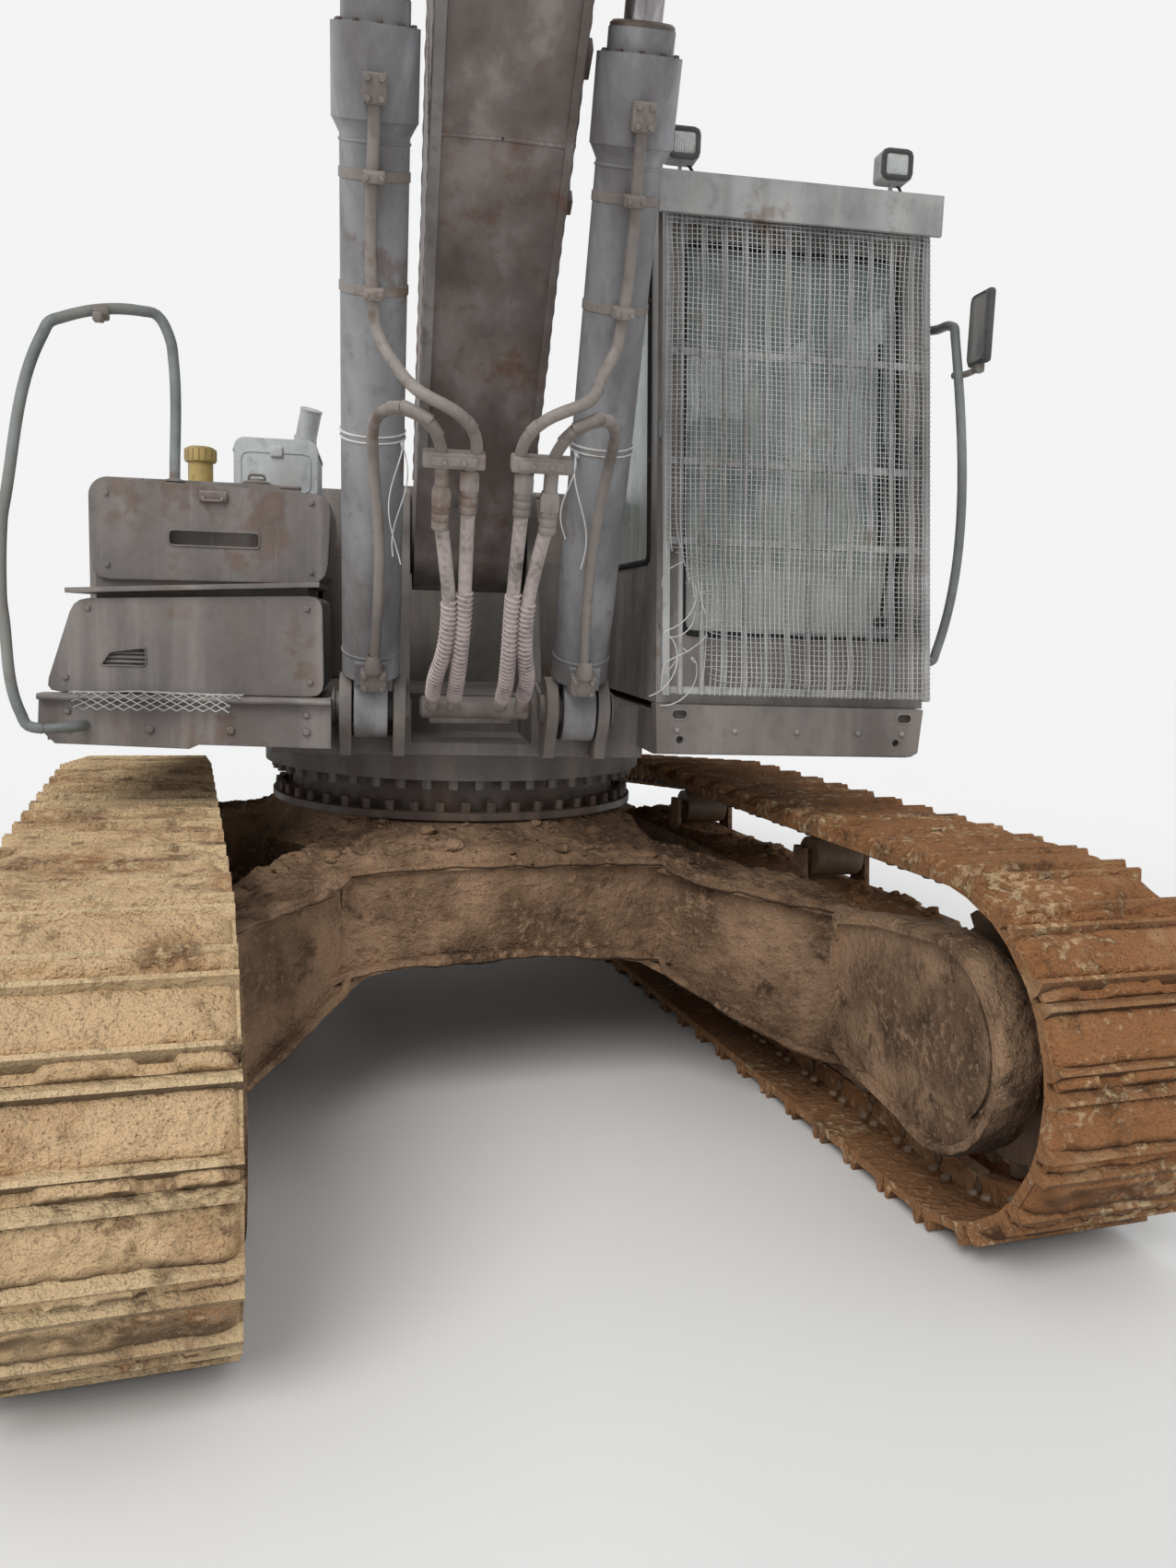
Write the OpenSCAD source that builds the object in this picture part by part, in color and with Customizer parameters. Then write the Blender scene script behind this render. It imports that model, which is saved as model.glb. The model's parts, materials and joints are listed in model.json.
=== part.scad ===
// Crawler excavator of the 36 tonne class, long arm, boom raised, bucket down.
// Frame: origin on the slew axis at ground level, +Z up, front towards -Y, cab on +X.

/* [Undercarriage] */
// Distance between the track centres
gauge = 2600; // [2560:10:2700]
// Width of the track shoes
shoe_w = 600; // [500:10:620]
// Distance between sprocket and idler axles
wheelbase = 4050; // [3950:10:4250]
// Height of the track over its shoe plates
track_h = 1060; // [1030:5:1080]
// Height of a grouser on a shoe
grouser_h = 36; // [28:1:40]
// Depth of the chain links below the shoe plates
chain_h = 104; // [90:1:115]
// Number of shoes in one track
shoes = 52; // [48:1:56]
// Radius of a bottom roller
roller_r = 100; // [90:1:105]
// Turn of the undercarriage under the upper structure
turn_deg = 8.6; // [-10:0.1:10]
// Lead of the track middle in front of the slew axis
track_lead = 140; // [100:5:160]
// Drop of the top run from the sprocket to the idler
run_drop = 150; // [120:5:160]
// Height of the centre frame's legs
leg_z = 940; // [910:5:960]
// Height of the seat for the slew ring
ring_z = 1035; // [1020:5:1045]

/* [Upper structure] */
// Height of the underside of the upper frame
frame_z = 1305; // [1290:5:1320]
// Depth of the deck frame
frame_h = 190; // [170:5:200]
// Width over the upper structure
upper_w = 3040; // [2980:10:3060]
// Tail swing radius
tail_r = 3450; // [3350:10:3600]
// Height of the engine housing above the deck
house_h = 940; // [900:10:960]
// Thickness of the housing walls
wall = 40; // [25:5:45]

/* [Cab] */
// Width of the cab
cab_w = 960; // [930:10:970]
// Length of the cab
cab_l = 1800; // [1750:10:1830]
// Height of the cab
cab_h = 1730; // [1700:10:1750]
// Lean of the cab's front
cab_lean = 9; // [7:0.5:10]
// Thickness of the cab walls
cab_t = 60; // [50:5:70]
// Thickness of the cab glass
glass_t = 6; // [5:1:10]

/* [Boom and arm] */
// Boom length from foot pin to arm pin
boom_l = 6400; // [6300:50:6450]
// Width of the boom box
boom_w = 405; // [390:5:420]
// Arm length from boom pin to bucket pin
arm_l = 4000; // [3980:20:4100]
// Lean of the arm from upright, away from the machine
arm_lean = 7.7; // [5:0.1:9]
// Width of the arm box
arm_w = 340; // [300:10:340]
// Width of the bucket
bucket_w = 1450; // [1200:10:1600]
// Radius from bucket pin to tooth tips
tip_r = 1615; // [1600:5:1640]

/* [Cylinders] */
// Outer diameter of a boom cylinder
boom_cyl_d = 190; // [170:5:200]
// Diameter of a boom cylinder rod
boom_rod_d = 105; // [90:5:110]
// Distance between the two boom cylinders
boom_cyl_gap = 704; // [690:2:716]
// Length of a boom cylinder from pin to gland
boom_barrel_l = 2010; // [1900:10:2100]

/* [Hidden] */
$fn = 48;
seat = 0.3;
fit = 0.05;
gap = 5;
pin_r = 50;

track_r = track_h / 2;
axle_z = grouser_h + track_r;
half = wheelbase / 2;
deck_z = frame_z + frame_h;
side_x = upper_w / 2;
house_z = deck_z + house_h;

// Working points: forward distance and height
foot = [450, frame_z + 795];
base_pin = [1060, frame_z + 179];
// A point given along and across a member's pin line, from its pin p at an inclination
function along(p, deg, q) = p + [q[0] * cos(deg) - q[1] * sin(deg), q[0] * sin(deg) + q[1] * cos(deg)];
function slope(a, b) = atan2(b[1] - a[1], b[0] - a[0]);
lift_pin = [2825, 1027];
arm_base = [3350, 1600];
// The boom holds the arm's pin where the leaning arm stands on the bucket's teeth
boom_deg = asin((tip_r + arm_l * cos(arm_lean) - foot[1]) / boom_l);
lift_at = along(foot, boom_deg, lift_pin);
boom_tip = along(foot, boom_deg, [boom_l, 0]);
arm_deg = arm_lean - 90;
arm_pin = [-874, 371];
curl_base = [1000, 590];
// Pipes and hoses on the boom cylinders: radii, distance in front of the pin line, and where each hose begins
pipe_r = 17;
hose_r = 21;
hose_y = -330;
// sideways place, height of the fitting's top
hose_tops = [[156, 862], [78, 912]];
rocker_pin = [arm_l - 480, 20];
rocker_l = 650;
link_l = 620;
bucket_at = along(boom_tip, arm_deg, [arm_l, 0]);
bucket_deg = -90;
ear_pin = 480 * [cos(100), sin(100)];
ear_at = along(bucket_at, bucket_deg, ear_pin);
rocker_at = along(boom_tip, arm_deg, rocker_pin);
// The joint of rocker and link, from the three known sides
reach = norm(ear_at - rocker_at);
rocker_turn = acos((rocker_l * rocker_l + reach * reach - link_l * link_l) / (2 * rocker_l * reach));
rocker_deg = slope(rocker_at, ear_at) + rocker_turn;
knee_at = along(rocker_at, rocker_deg, [rocker_l, 0]);

// A block with an outline in forward distance and height, from x over width w
module side(x, w) { translate([x + w, 0, 0]) rotate([90, 0, -90]) linear_extrude(w) children(); }
// A block with an outline in x and z, from y over depth d
module front(y, d) { translate([0, y + d, 0]) rotate([90, 0, 0]) linear_extrude(d) children(); }
// A box given by its two corners
module span(a, b) { translate(a) cube(b - a); }
// A cylinder along X centred at x
module rod_x(x, w, r) { translate([x - w / 2, 0, 0]) rotate([0, 90, 0]) cylinder(h = w, r = r); }
// A cylinder along X at forward distance and height p
module pin_at(p, x, w, r) { translate([0, -p[0], p[1]]) rod_x(x, w, r); }
// A member drawn along its pin line, set at pin p with an inclination
module member(p, deg) { translate([0, -p[0], p[1]]) rotate([-deg, 0, 0]) children(); }
// A cylinder or rod drawn along +Z, set at pin p towards q
module strut(p, q) { translate([0, -p[0], p[1]]) rotate([90 - slope(p, q), 0, 0]) children(); }
// A rounded rectangle from its low corner
module rrect(p, s, r) {
    translate(p) {
        translate([r, 0]) square([s[0] - 2 * r, s[1]]);
        translate([0, r]) square([s[0], s[1] - 2 * r]);
        for (x = [r, s[0] - r], y = [r, s[1] - r]) translate([x, y]) circle(r);
    }
}
// The same piece on both sides
module both() { children(); mirror([1, 0, 0]) children(); }
// Pieces of the undercarriage
module under() { rotate([0, 0, turn_deg]) translate([0, -track_lead, 0]) children(); }
// The other side of a piece of the undercarriage
module across_under() { rotate([0, 0, turn_deg]) mirror([1, 0, 0]) rotate([0, 0, -turn_deg]) children(); }
// Points of an arc
function arc(c, r, a0, a1, n) = [for (i = [0:n])
    let (a = a0 + (a1 - a0) * i / n) c + r * [cos(a), sin(a)]];
function unit(v) = v / norm(v);
// Points of a route whose corners are rounded over length d
function rounded(points, d) = [for (i = [0:len(points) - 1])
    each (i == 0 || i == len(points) - 1) ? [points[i]]
        : let (a = points[i] + d * unit(points[i - 1] - points[i]), b = points[i] + d * unit(points[i + 1] - points[i]))
            [a, (a + 2 * points[i] + b) / 4, b]];
// Points of a closed outline whose corners are rounded over length d
function rounded_loop(p, d) = [for (i = [0:len(p) - 1])
    let (q = p[i], a = q + d * unit(p[(i + len(p) - 1) % len(p)] - q), b = q + d * unit(p[(i + 1) % len(p)] - q))
    each [a, (a * 4 + q * 4 + b) / 9, (a + q * 4 + b * 4) / 9, b]];
function heading(p, i) = i == 0 ? unit(p[1] - p[0]) : i == len(p) - 1 ? unit(p[i] - p[i - 1])
    : unit(unit(p[i] - p[i - 1]) + unit(p[i + 1] - p[i]));
function across(p, i) = let (t = heading(p, i))
    i == 0 ? unit(cross(t, abs(t[0]) < 0.9 ? [1, 0, 0] : [0, 1, 0]))
    : let (n = across(p, i - 1)) unit(n - (n * t) * t);
// A bent tube through points, with n sides
module tube(points, r, n = 10) {
    last = (len(points) - 1) * n;
    polyhedron([for (i = [0:len(points) - 1])
        let (u = across(points, i), v = cross(heading(points, i), u))
        for (k = [0:n - 1]) points[i] + r * (cos(k * 360 / n) * u + sin(k * 360 / n) * v)],
        concat([[for (k = [0:n - 1]) k]], [[for (k = [n - 1:-1:0]) last + k]],
        [for (i = [0:n:last - n], k = [0:n - 1]) each let (m = (k + 1) % n)
            [[i + k, i + n + k, i + n + m], [i + k, i + n + m, i + m]]]));
}

// Track: one closed loop whose shoes stand on chords of the pitch line
link_r = track_r - 40;
idler_link_r = link_r - run_drop / 2;
idler_drop = run_drop / 2;
carrier_y = [-850, 420];
// The top run leaves the rear carrier roller and meets the idler on a slope
run_deg = 2 * atan(idler_drop / (half - carrier_y[1]));
pitch_line = [[-half, -link_r], [half, -link_r],
    each arc([half, -idler_drop], idler_link_r, -86, 90 - run_deg, 40), [carrier_y[1], link_r],
    each arc([-half, 0], link_r, 90, 270, 44)];
along_line = [for (i = 0, s = 0; i < len(pitch_line);
    s = s + (i + 1 < len(pitch_line) ? norm(pitch_line[i + 1] - pitch_line[i]) : 0), i = i + 1) s];
path_l = along_line[len(pitch_line) - 1];
pitch = path_l / shoes;
table_x = [for (i = [0:len(pitch_line) - 1]) [along_line[i], pitch_line[i][0]]];
table_z = [for (i = [0:len(pitch_line) - 1]) [along_line[i], pitch_line[i][1]]];
function on_path(s) = let (u = s - path_l * floor(s / path_l)) [lookup(u, table_x), lookup(u, table_z)];
// Least radius of the shoe plates where the track bends
chord_r = link_r * cos(pitch / link_r / 2 * 180 / PI) + 40;
idler_chord_r = idler_link_r * cos(pitch / idler_link_r / 2 * 180 / PI) + 40;
// Outlines of one shoe and one link: place along it as a share of its pitch, height from the plate
shoe_outline = [[-0.485, -26], [-0.485, 0], [-0.42, grouser_h], [-0.36, grouser_h], [-0.28, 0],
    [0.28, 0], [0.36, grouser_h], [0.42, grouser_h], [0.485, 0], [0.485, -26]];
link_outline = [[-0.46, -26], [-0.40, -chain_h], [0.40, -chain_h], [0.46, -26]];
function shoe_points(outline) = [for (i = [0:shoes - 1])
    let (a = on_path(i * pitch), b = on_path((i + 1) * pitch), t = (b - a) / norm(b - a),
        n = [t[1], -t[0]], m = (a + b) / 2 + (track_r - link_r) * n)
    for (p = outline) m + p[0] * norm(b - a) * t + p[1] * n];
module track() {
    color("#a07848") under() translate([gauge / 2, 0, axle_z]) mirror([0, 1, 0]) {
        side(-shoe_w / 2, shoe_w) difference() {
            polygon(shoe_points(shoe_outline));
            polygon(shoe_points([[-0.3, -30], [0.3, -30]]));
        }
        for (rail = [-95, 45]) side(rail, 50) difference() {
            polygon(shoe_points([[-0.3, -28], [0.3, -28]]));
            polygon(shoe_points(link_outline));
        }
    }
}
module left_track() { track(); }
module right_track() { across_under() track(); }

// Sprockets in front, with their drive drums towards the outside
sprocket_r = chord_r - 150;
teeth = 21;
module sprockets() {
    color("#7a6248") under() both() translate([gauge / 2, -half, axle_z]) {
        for (i = [0:teeth - 1]) rotate([i * 360 / teeth, 0, 0])
            translate([-20, -18, sprocket_r - 30]) cube([40, 36, 78]);
        rod_x(0, 60, sprocket_r);
        rod_x(30, 360 - 2 * seat, 200);
        rod_x(180, 80, 240);
    }
}
// Idler wheels at the rear, between the yoke arms of the track frames
idler_r = idler_chord_r - chain_h - seat;
idler_z = axle_z - idler_drop;
frame_x = 170;
module idlers() {
    color("#7a6248") under() both() translate([gauge / 2, half, idler_z]) {
        rod_x(0, 80, idler_r + 36);
        rod_x(0, 210, idler_r);
        rod_x(0, 2 * (frame_x - 20 - seat), 80);
    }
}
// Bottom rollers and carrier rollers, with their shafts
roller_y = [-1330, -950, -570, -190, 190, 570, 950, 1330];
roller_z = grouser_h + chain_h + roller_r + seat;
carrier_r = 78;
carrier_z = grouser_h + track_h - chain_h - carrier_r - 2.5;
module rollers() {
    color("#6e5a44") under() both() translate([gauge / 2, 0, 0]) {
        for (y = roller_y) translate([0, y, roller_z]) {
            for (m = [-70, 70]) rod_x(m, 60, roller_r);
            rod_x(0, 84, 70);
            rod_x(0, 2 * (frame_x - 20 - seat), 35);
        }
        for (y = carrier_y) translate([0, y, carrier_z]) {
            rod_x(0, 200, carrier_r);
            rod_x(0, 250 - 2 * seat, 30);
        }
    }
}
// Box frame that carries the rollers between sprocket and idler
module track_frame() {
    low = roller_z + roller_r + 30;
    color("#8a6a44") under() translate([gauge / 2, 0, 0]) {
        side(-frame_x, 2 * frame_x) polygon([[-half + 520, low], [half - 520, low], [half - 490, 470],
            [half - 490, 700], [half - 560, 790], [-half + 900, 790], [-half + 520, 690]]);
        for (m = [-frame_x, frame_x - 20]) {
            side(m, 20) polygon([[-half + 560, 205], [half - 560, 205], [half - 520, low], [-half + 520, low]]);
            side(m, 20) {
                polygon([[-half, idler_z - 90], [-half + 540, 430], [-half + 540, 700], [-half, idler_z + 90]]);
                translate([-half, idler_z]) circle(90);
            }
        }
        for (y = carrier_y, m = [-145, 125])
            side(m, 20) polygon([[-y - 60, 780], [-y + 60, 780], [-y + 40, carrier_z + 40], [-y - 40, carrier_z + 40]]);
        side(-frame_x, 20) {
            polygon([[half - 560, 420], [half, axle_z - 280], [half, axle_z + 280], [half - 560, 790]]);
            translate([half, axle_z]) circle(280);
        }
    }
}
module left_track_frame() { track_frame(); }
module right_track_frame() { across_under() track_frame(); }
// Round guards over the drive motors, inside the tracks
guard_x = 985;
module motor_guards() {
    r = 325;
    plate_in = gauge / 2 - frame_x - seat;
    // Outline of the guard less an inset, from the leg of the centre frame round the motor
    function guard_outline(d) = concat([[half - 600 + d, axle_z + 262 - d], [half - 330, axle_z + 315 - d]],
        arc([half, axle_z + 20], r - d, 95, -115, 16), [[half - 420, axle_z - 235 + d], [half - 600 + d, axle_z - 180 + d]]);
    color("#9a7a52") under() both() {
        side(guard_x, plate_in - guard_x) difference() {
            polygon(guard_outline(0));
            polygon(guard_outline(26));
        }
        side(guard_x + 26, 20) difference() {
            polygon(guard_outline(20));
            translate([half + 60, axle_z + 40]) difference() {
                circle(235);
                translate([-40, -20]) circle(232);
                translate([-300, -300]) square([420, 600]);
            }
        }
        side(guard_x + 40, plate_in - guard_x - 40) translate([half, axle_z]) circle(250);
    }
}
// Centre frame: box under the slew ring, front and rear beams arched over the ground, legs turned outwards
leg_turn = 43;
arch_z = 580;
beam_y = 850;
beam_d = 330;
knee_x = 660;
weld_x = 100;
leg_l = 840;
tow_eye = [-1010, 720];
// Half of a beam seen from the front: underside and top as distance from the middle and height
arch_low = [[0, arch_z], [200, arch_z - 3], [400, arch_z - 18], [560, arch_z - 42], [knee_x, arch_z - 66]];
arch_top = [[knee_x, leg_z - 22], [400, leg_z - 6], [0, leg_z]];
// The leg carries on from the knee, measured along its turned face
leg_low = [[-110, arch_z - 61], [0, arch_z - 61], [150, arch_z - 112], [300, arch_z - 180], [430, arch_z - 240], [620, arch_z - 300], [leg_l, arch_z - 330]];
leg_top = [[leg_l, leg_z - 130], [300, leg_z - 80], [0, leg_z - 27], [-110, leg_z - 27]];
function full_low(p) = concat([for (i = [len(p) - 1:-1:1]) [-p[i][0], p[i][1]]], p);
function full_top(p) = concat(p, [for (i = [len(p) - 2:-1:0]) [-p[i][0], p[i][1]]]);
module beam_part(low, top, flange) {
    front(-beam_d / 2, beam_d - 70) polygon(concat(low, top));
    front(-beam_d / 2 - 40, beam_d) {
        polygon(concat(low, [for (i = [len(low) - 1:-1:0]) low[i] + [0, flange]]));
        polygon(concat(top, [for (i = [len(top) - 1:-1:0]) top[i] - [0, flange]]));
    }
}
module arched_beams() {
    outer = gauge / 2 - frame_x - seat;
    for (e = [0, 1]) mirror([0, e, 0]) intersection() {
        span([-outer, -half + 605, 0], [outer, 0, ring_z]);
        translate([0, -beam_y + beam_d / 2, 0]) {
            beam_part(full_low(arch_low), full_top(arch_top), 28);
            both() translate([knee_x - 2, 0, 0]) rotate([0, 0, -leg_turn]) beam_part(leg_low, leg_top, 28);
        }
    }
}
// The room outside the weld between the arched middle and each turned leg
module leg_ends(from) {
    for (e = [0, 1]) mirror([0, e, 0]) both() translate([knee_x - 2, -beam_y + beam_d / 2, 0])
        rotate([0, 0, -leg_turn]) span([from, -300, -1], [leg_l + 200, 300, ring_z + 1]);
}
module x_frame() {
    color("#8a6a44") under() {
        difference() {
            arched_beams();
            leg_ends(weld_x);
        }
        span([-knee_x, -beam_y + beam_d - 60, arch_z - 40], [knee_x, beam_y - beam_d + 60, leg_z - 24]);
        translate([0, track_lead, leg_z - 60]) cylinder(h = ring_z - leg_z + 60, r = 700);
        side(-30, 60) difference() {
            union() {
                translate(tow_eye) circle(80);
                translate([tow_eye[0], tow_eye[1] - 80]) square([300, 160]);
            }
            translate(tow_eye) circle(38);
        }
    }
}
// The four legs, welded to the ends of the arched middle
module frame_legs() {
    color("#8a6a44") under() intersection() {
        arched_beams();
        leg_ends(weld_x + seat);
    }
}
// Slew ring: flange with a row of bolt heads, and the ring that turns on it
ring_top = ring_z + 155;
ring_r = 790;
ring_bolts = 48;
module slew_ring() {
    color("#4a443c") {
        translate([0, 0, ring_z + seat]) cylinder(h = 30, r = ring_r - 30);
        translate([0, 0, ring_z + seat]) cylinder(h = ring_top - ring_z - seat, r = ring_r - 110);
        for (i = [0:ring_bolts - 1]) rotate([0, 0, i * 360 / ring_bolts])
            translate([ring_r - 60, 0, ring_z + 20]) cylinder(h = 48, r = 20, $fn = 6);
    }
}

// Upper frame: deck, boom tower and cylinder brackets
tower_in = boom_w / 2 + 15;
tower_t = 40;
cyl_x = boom_cyl_gap / 2;
eye_w = 110;
ear_x = cyl_x + eye_w / 2 + 8;
deck_front = 950;
deck_right = 1060;
deck_left = 1220;
deck_rear = 2390;
cab_x = 600;
module upper_frame() {
    color("#5a5048") {
        translate([0, 0, ring_top + seat]) cylinder(h = frame_z - ring_top + 5, r = ring_r);
        for (i = [0:ring_bolts - 1]) rotate([0, 0, (i + 0.5) * 360 / ring_bolts])
            translate([ring_r - 45, 0, ring_top - 38]) cylinder(h = 44, r = 20, $fn = 6);
        difference() {
            union() {
                span([-690, -deck_front, frame_z], [cab_x + 20, deck_rear, deck_z]);
                span([-1390, -deck_right, frame_z + 45], [-680, 400, deck_z]);
                span([-side_x, 380, frame_z + 45], [-680, deck_rear, deck_z]);
                span([cab_x, -deck_left, frame_z + 45], [side_x, deck_rear, deck_z]);
            }
            span([-tower_in + 5, -deck_front - 1, frame_z + 45], [tower_in - 5, -520, deck_z + 1]);
        }
        both() {
            side(tower_in, tower_t) {
                polygon([[-400, deck_z - 5], [deck_front - 60, deck_z - 5], [foot[0] + 168, foot[1] - 20],
                    [foot[0] - 60, foot[1] + 158], [-200, foot[1] - 200]]);
                translate(foot) circle(170);
            }
            for (x = [tower_in + 20, ear_x]) side(x, tower_t) {
                translate(base_pin) circle(112);
                polygon([[deck_front - 60, frame_z + 10], [base_pin[0] + 30, frame_z + 10],
                    [base_pin[0] + 108, base_pin[1] - 25], [base_pin[0] - 40, base_pin[1] + 104],
                    [deck_front - 180, base_pin[1] + 40]]);
            }
            pin_at(base_pin, (tower_in + 20 + ear_x + tower_t) / 2, ear_x + tower_t - tower_in + 10, pin_r);
            side(tower_in + 40, ear_x - tower_in - 30) polygon([[deck_front - 5, frame_z + 5], [deck_front + 35, frame_z + 5],
                [deck_front + 35, frame_z + 70], [deck_front - 5, frame_z + 70]]);
        }
        pin_at(foot, 0, 2 * (tower_in + tower_t) + 40, 60);
        for (x = [cab_x + 120, cab_x + cab_w - 120], y = [-1090, 300])
            translate([x, y, deck_z - 1]) cylinder(h = 30 + 1 - seat, r = 55);
    }
}
weight_y = deck_rear + seat;
weight_top = house_z - 50;
eye_at = [800, 2900];
weight_low = frame_z - 60;
module counterweight() {
    color("#57504a") both() side(eye_at[0] - 25, 50) difference() {
        union() {
            translate([-eye_at[1], weight_top + 60]) circle(75);
            translate([-eye_at[1] - 75, weight_top - 20]) square([150, 80]);
        }
        translate([-eye_at[1], weight_top + 60]) circle(40);
    }
    color("#57504a") difference() {
        intersection() {
            translate([0, 0, 1100]) linear_extrude(1600) intersection() {
                circle(tail_r, $fn = 96);
                union() {
                    translate([-side_x, weight_y]) square([2 * side_x, 640]);
                    translate([-side_x + 130, weight_y]) square([2 * side_x - 260, 1100]);
                    both() translate([side_x - 240, weight_y + 560]) circle(240);
                }
            }
            side(-side_x - 1, 2 * side_x + 2) polygon(concat([[-weight_y + 1, weight_low], [-tail_r + 260, weight_low]],
                arc([-tail_r + 260, weight_low + 260], 260, 270, 180, 6), [[-tail_r, weight_top - 160]],
                arc([-tail_r + 120, weight_top - 120], 120, 180, 90, 5), [[-weight_y + 1, weight_top]]));
        }
        front(tail_r - 60, 100) rrect([-560, weight_low + 330], [1120, 300], 60);
        both() for (z = [weight_low + 380, weight_low + 460, weight_low + 540])
            span([side_x - 30, weight_y + 130, z], [side_x + 1, weight_y + 480, z + 40]);
    }
}
module engine_block() {
    color("#4c4a48") span([-600, 1560, deck_z + seat], [600, 2200, house_z - 180]);
}
// Housing over engine and radiators, with openings for two side doors and the hood
house_y = 1410;
door_y = [house_y + 60, deck_rear - 60];
door_z = [deck_z + 60, house_z - 90];
hood_x = [-450, 700];
hood_y = [house_y + 60, deck_rear - 60];
hinge_out = 14;
hinge_z = [door_z[0] + 120, door_z[1] - 200];
module engine_housing() {
    color("#5c544c") {
        difference() {
            span([-side_x, house_y, deck_z + seat], [side_x, deck_rear, house_z]);
            span([-side_x + wall, house_y + wall, deck_z], [side_x - wall, deck_rear - wall, house_z - wall]);
            span([-side_x - 1, door_y[0], door_z[0]], [side_x + 1, door_y[1], door_z[1]]);
            span([hood_x[0], hood_y[0], house_z - 2 * wall], [hood_x[1], hood_y[1], house_z + 1]);
        }
        both() for (z = hinge_z) {
            translate([side_x + hinge_out, door_y[0], z - 50]) cylinder(h = 50 - seat, r = 10);
            span([side_x - 5, door_y[0] - 40, z - 50], [side_x + hinge_out, door_y[0] - 5, z - seat]);
            span([side_x - 1, door_y[0] - 8, z - 50], [side_x + hinge_out, door_y[0] - 2, z - seat]);
        }
        front(620, house_y - 619) rrect([cab_x + 60, deck_z + seat], [side_x - cab_x - 60, house_h - 100], 60);
        front(420, house_y - 419) rrect([-580, deck_z + seat], [1160, 560], 50);
    }
}
// A louvred side door, hinged at its front edge
module side_door() {
    color("#5c544c") {
        difference() {
            span([side_x - wall, door_y[0] + gap, door_z[0] + gap], [side_x, door_y[1] - gap, door_z[1] - gap]);
            for (z = [door_z[0] + 300:60:door_z[1] - 120])
                span([side_x - 12, door_y[0] + 120, z], [side_x + 1, door_y[1] - 120, z + 26]);
        }
        for (z = hinge_z) {
            translate([side_x + hinge_out, door_y[0], z]) cylinder(h = 50, r = 10);
            span([side_x - 1, door_y[0] + 2, z], [side_x + hinge_out, door_y[0] + 50, z + 50]);
        }
    }
}
module left_side_door() { side_door(); }
module right_side_door() { mirror([1, 0, 0]) side_door(); }
// Hood over the engine, hinged along its front edge
hood_axis = [hood_y[0] - 40, house_z + 20];
module engine_hood() {
    color("#5c544c") {
        span([hood_x[0] - 30, hood_y[0] - 25, house_z + seat], [hood_x[1] + 30, hood_y[1] + 25, house_z + 40]);
        for (x = [hood_x[0] + 100, hood_x[1] - 200]) {
            translate([x, hood_axis[0], hood_axis[1]]) rod_x(50, 100, 14);
            span([x, hood_axis[0], hood_axis[1] - 8], [x + 100, hood_y[0], hood_axis[1] + 8]);
        }
    }
}
tank_x = [-1385, -600];
tank_h = 765;
module tanks() {
    color("#5e564e") {
        front(-440, 1000) rrect([tank_x[0], deck_z + seat], [tank_x[1] - tank_x[0], tank_h], 70);
        front(565, 835) rrect([tank_x[0] - 100, deck_z + seat], [tank_x[1] - tank_x[0] + 100, tank_h + 60], 70);
    }
}
tank_top = deck_z + tank_h;
module filler_neck() {
    color("#c09a30") translate([-1020, -200, tank_top + 2 * seat]) {
        cylinder(h = 130, r = 47);
        translate([0, 0, 95]) cylinder(h = 50, r = 58);
    }
}
module rear_box() {
    color("#b8b4a8") front(150, 380) rrect([-935, tank_top + 2 * seat], [345, 248], 45);
}
box_top = deck_z + 700;
step_top = deck_z + 18;
box_y = -1080;
// Tool box over a lower locker, with a lip between them
module tool_box() {
    mid_z = deck_z + 365;
    color("#5e544c") difference() {
        union() {
            front(box_y, 620) polygon(rounded_loop([[-1245, mid_z + 15], [-500, mid_z + 25], [-485, box_top - 20], [-1190, box_top]], 60));
            span([-1340, -deck_right + 2, deck_z + seat], [-560, box_y + 560, deck_z + 60]);
            front(box_y - 60, 690) polygon(rounded_loop([[-1375, step_top + seat], [-505, step_top + seat], [-512, mid_z - 15], [-1280, mid_z - 50]], 45));
            front(box_y - 90, 640) polygon([[-1300, mid_z - 34], [-520, mid_z + 12], [-520, mid_z + 28], [-1300, mid_z - 18]]);
            front(box_y + 20, 560) polygon([[-1230, mid_z - 60], [-560, mid_z - 60], [-560, mid_z + 60], [-1230, mid_z + 60]]);
        }
        front(box_y - 1, 55) rrect([-1000, mid_z + 130], [285, 50], 14);
        front(box_y - 61, 60) polygon([[-1205, deck_z + 105], [-1065, deck_z + 105], [-1065, deck_z + 165], [-1175, deck_z + 150]]);
    }
}
module front_step() {
    color("#6a5c4e") {
        front(-deck_right - 110, 110 - seat) polygon([[-1340, 1350], [-930, 1338], [-900, 1352], [-480, 1345], [-480, step_top - 6],
            [-1385, step_top - 12], [-1390, 1400]]);
        span([-1384, -deck_right - 135, step_top - 22], [-480, -deck_right - 60, step_top - 3]);
    }
}
module handrails() {
    y = box_y - 60;
    low = deck_z - 85;
    color("#b0aca4") tube(rounded([[-985, y + 100, box_top - 5], [-985, y + 100, box_top + 430], [-1030, y + 90, box_top + 530],
        [-1335, y - 30, box_top + 455], [-1472, y - 55, deck_z + 560], [-1480, y - 60, deck_z + 300],
        [-1415, y - 95, low - 10], [-1250, y - 95, low], [-1250, -deck_right - 110 - seat, low]], 30), 17);
}
module exhaust() {
    color("#6a5a4c") translate([-745, 1900, house_z + seat]) {
        cylinder(h = 40, r = 110);
        cylinder(h = 330, r = 62);
        translate([0, 0, 300]) rotate([15, 12, 0]) cylinder(h = 175, r = 58);
    }
}

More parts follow.
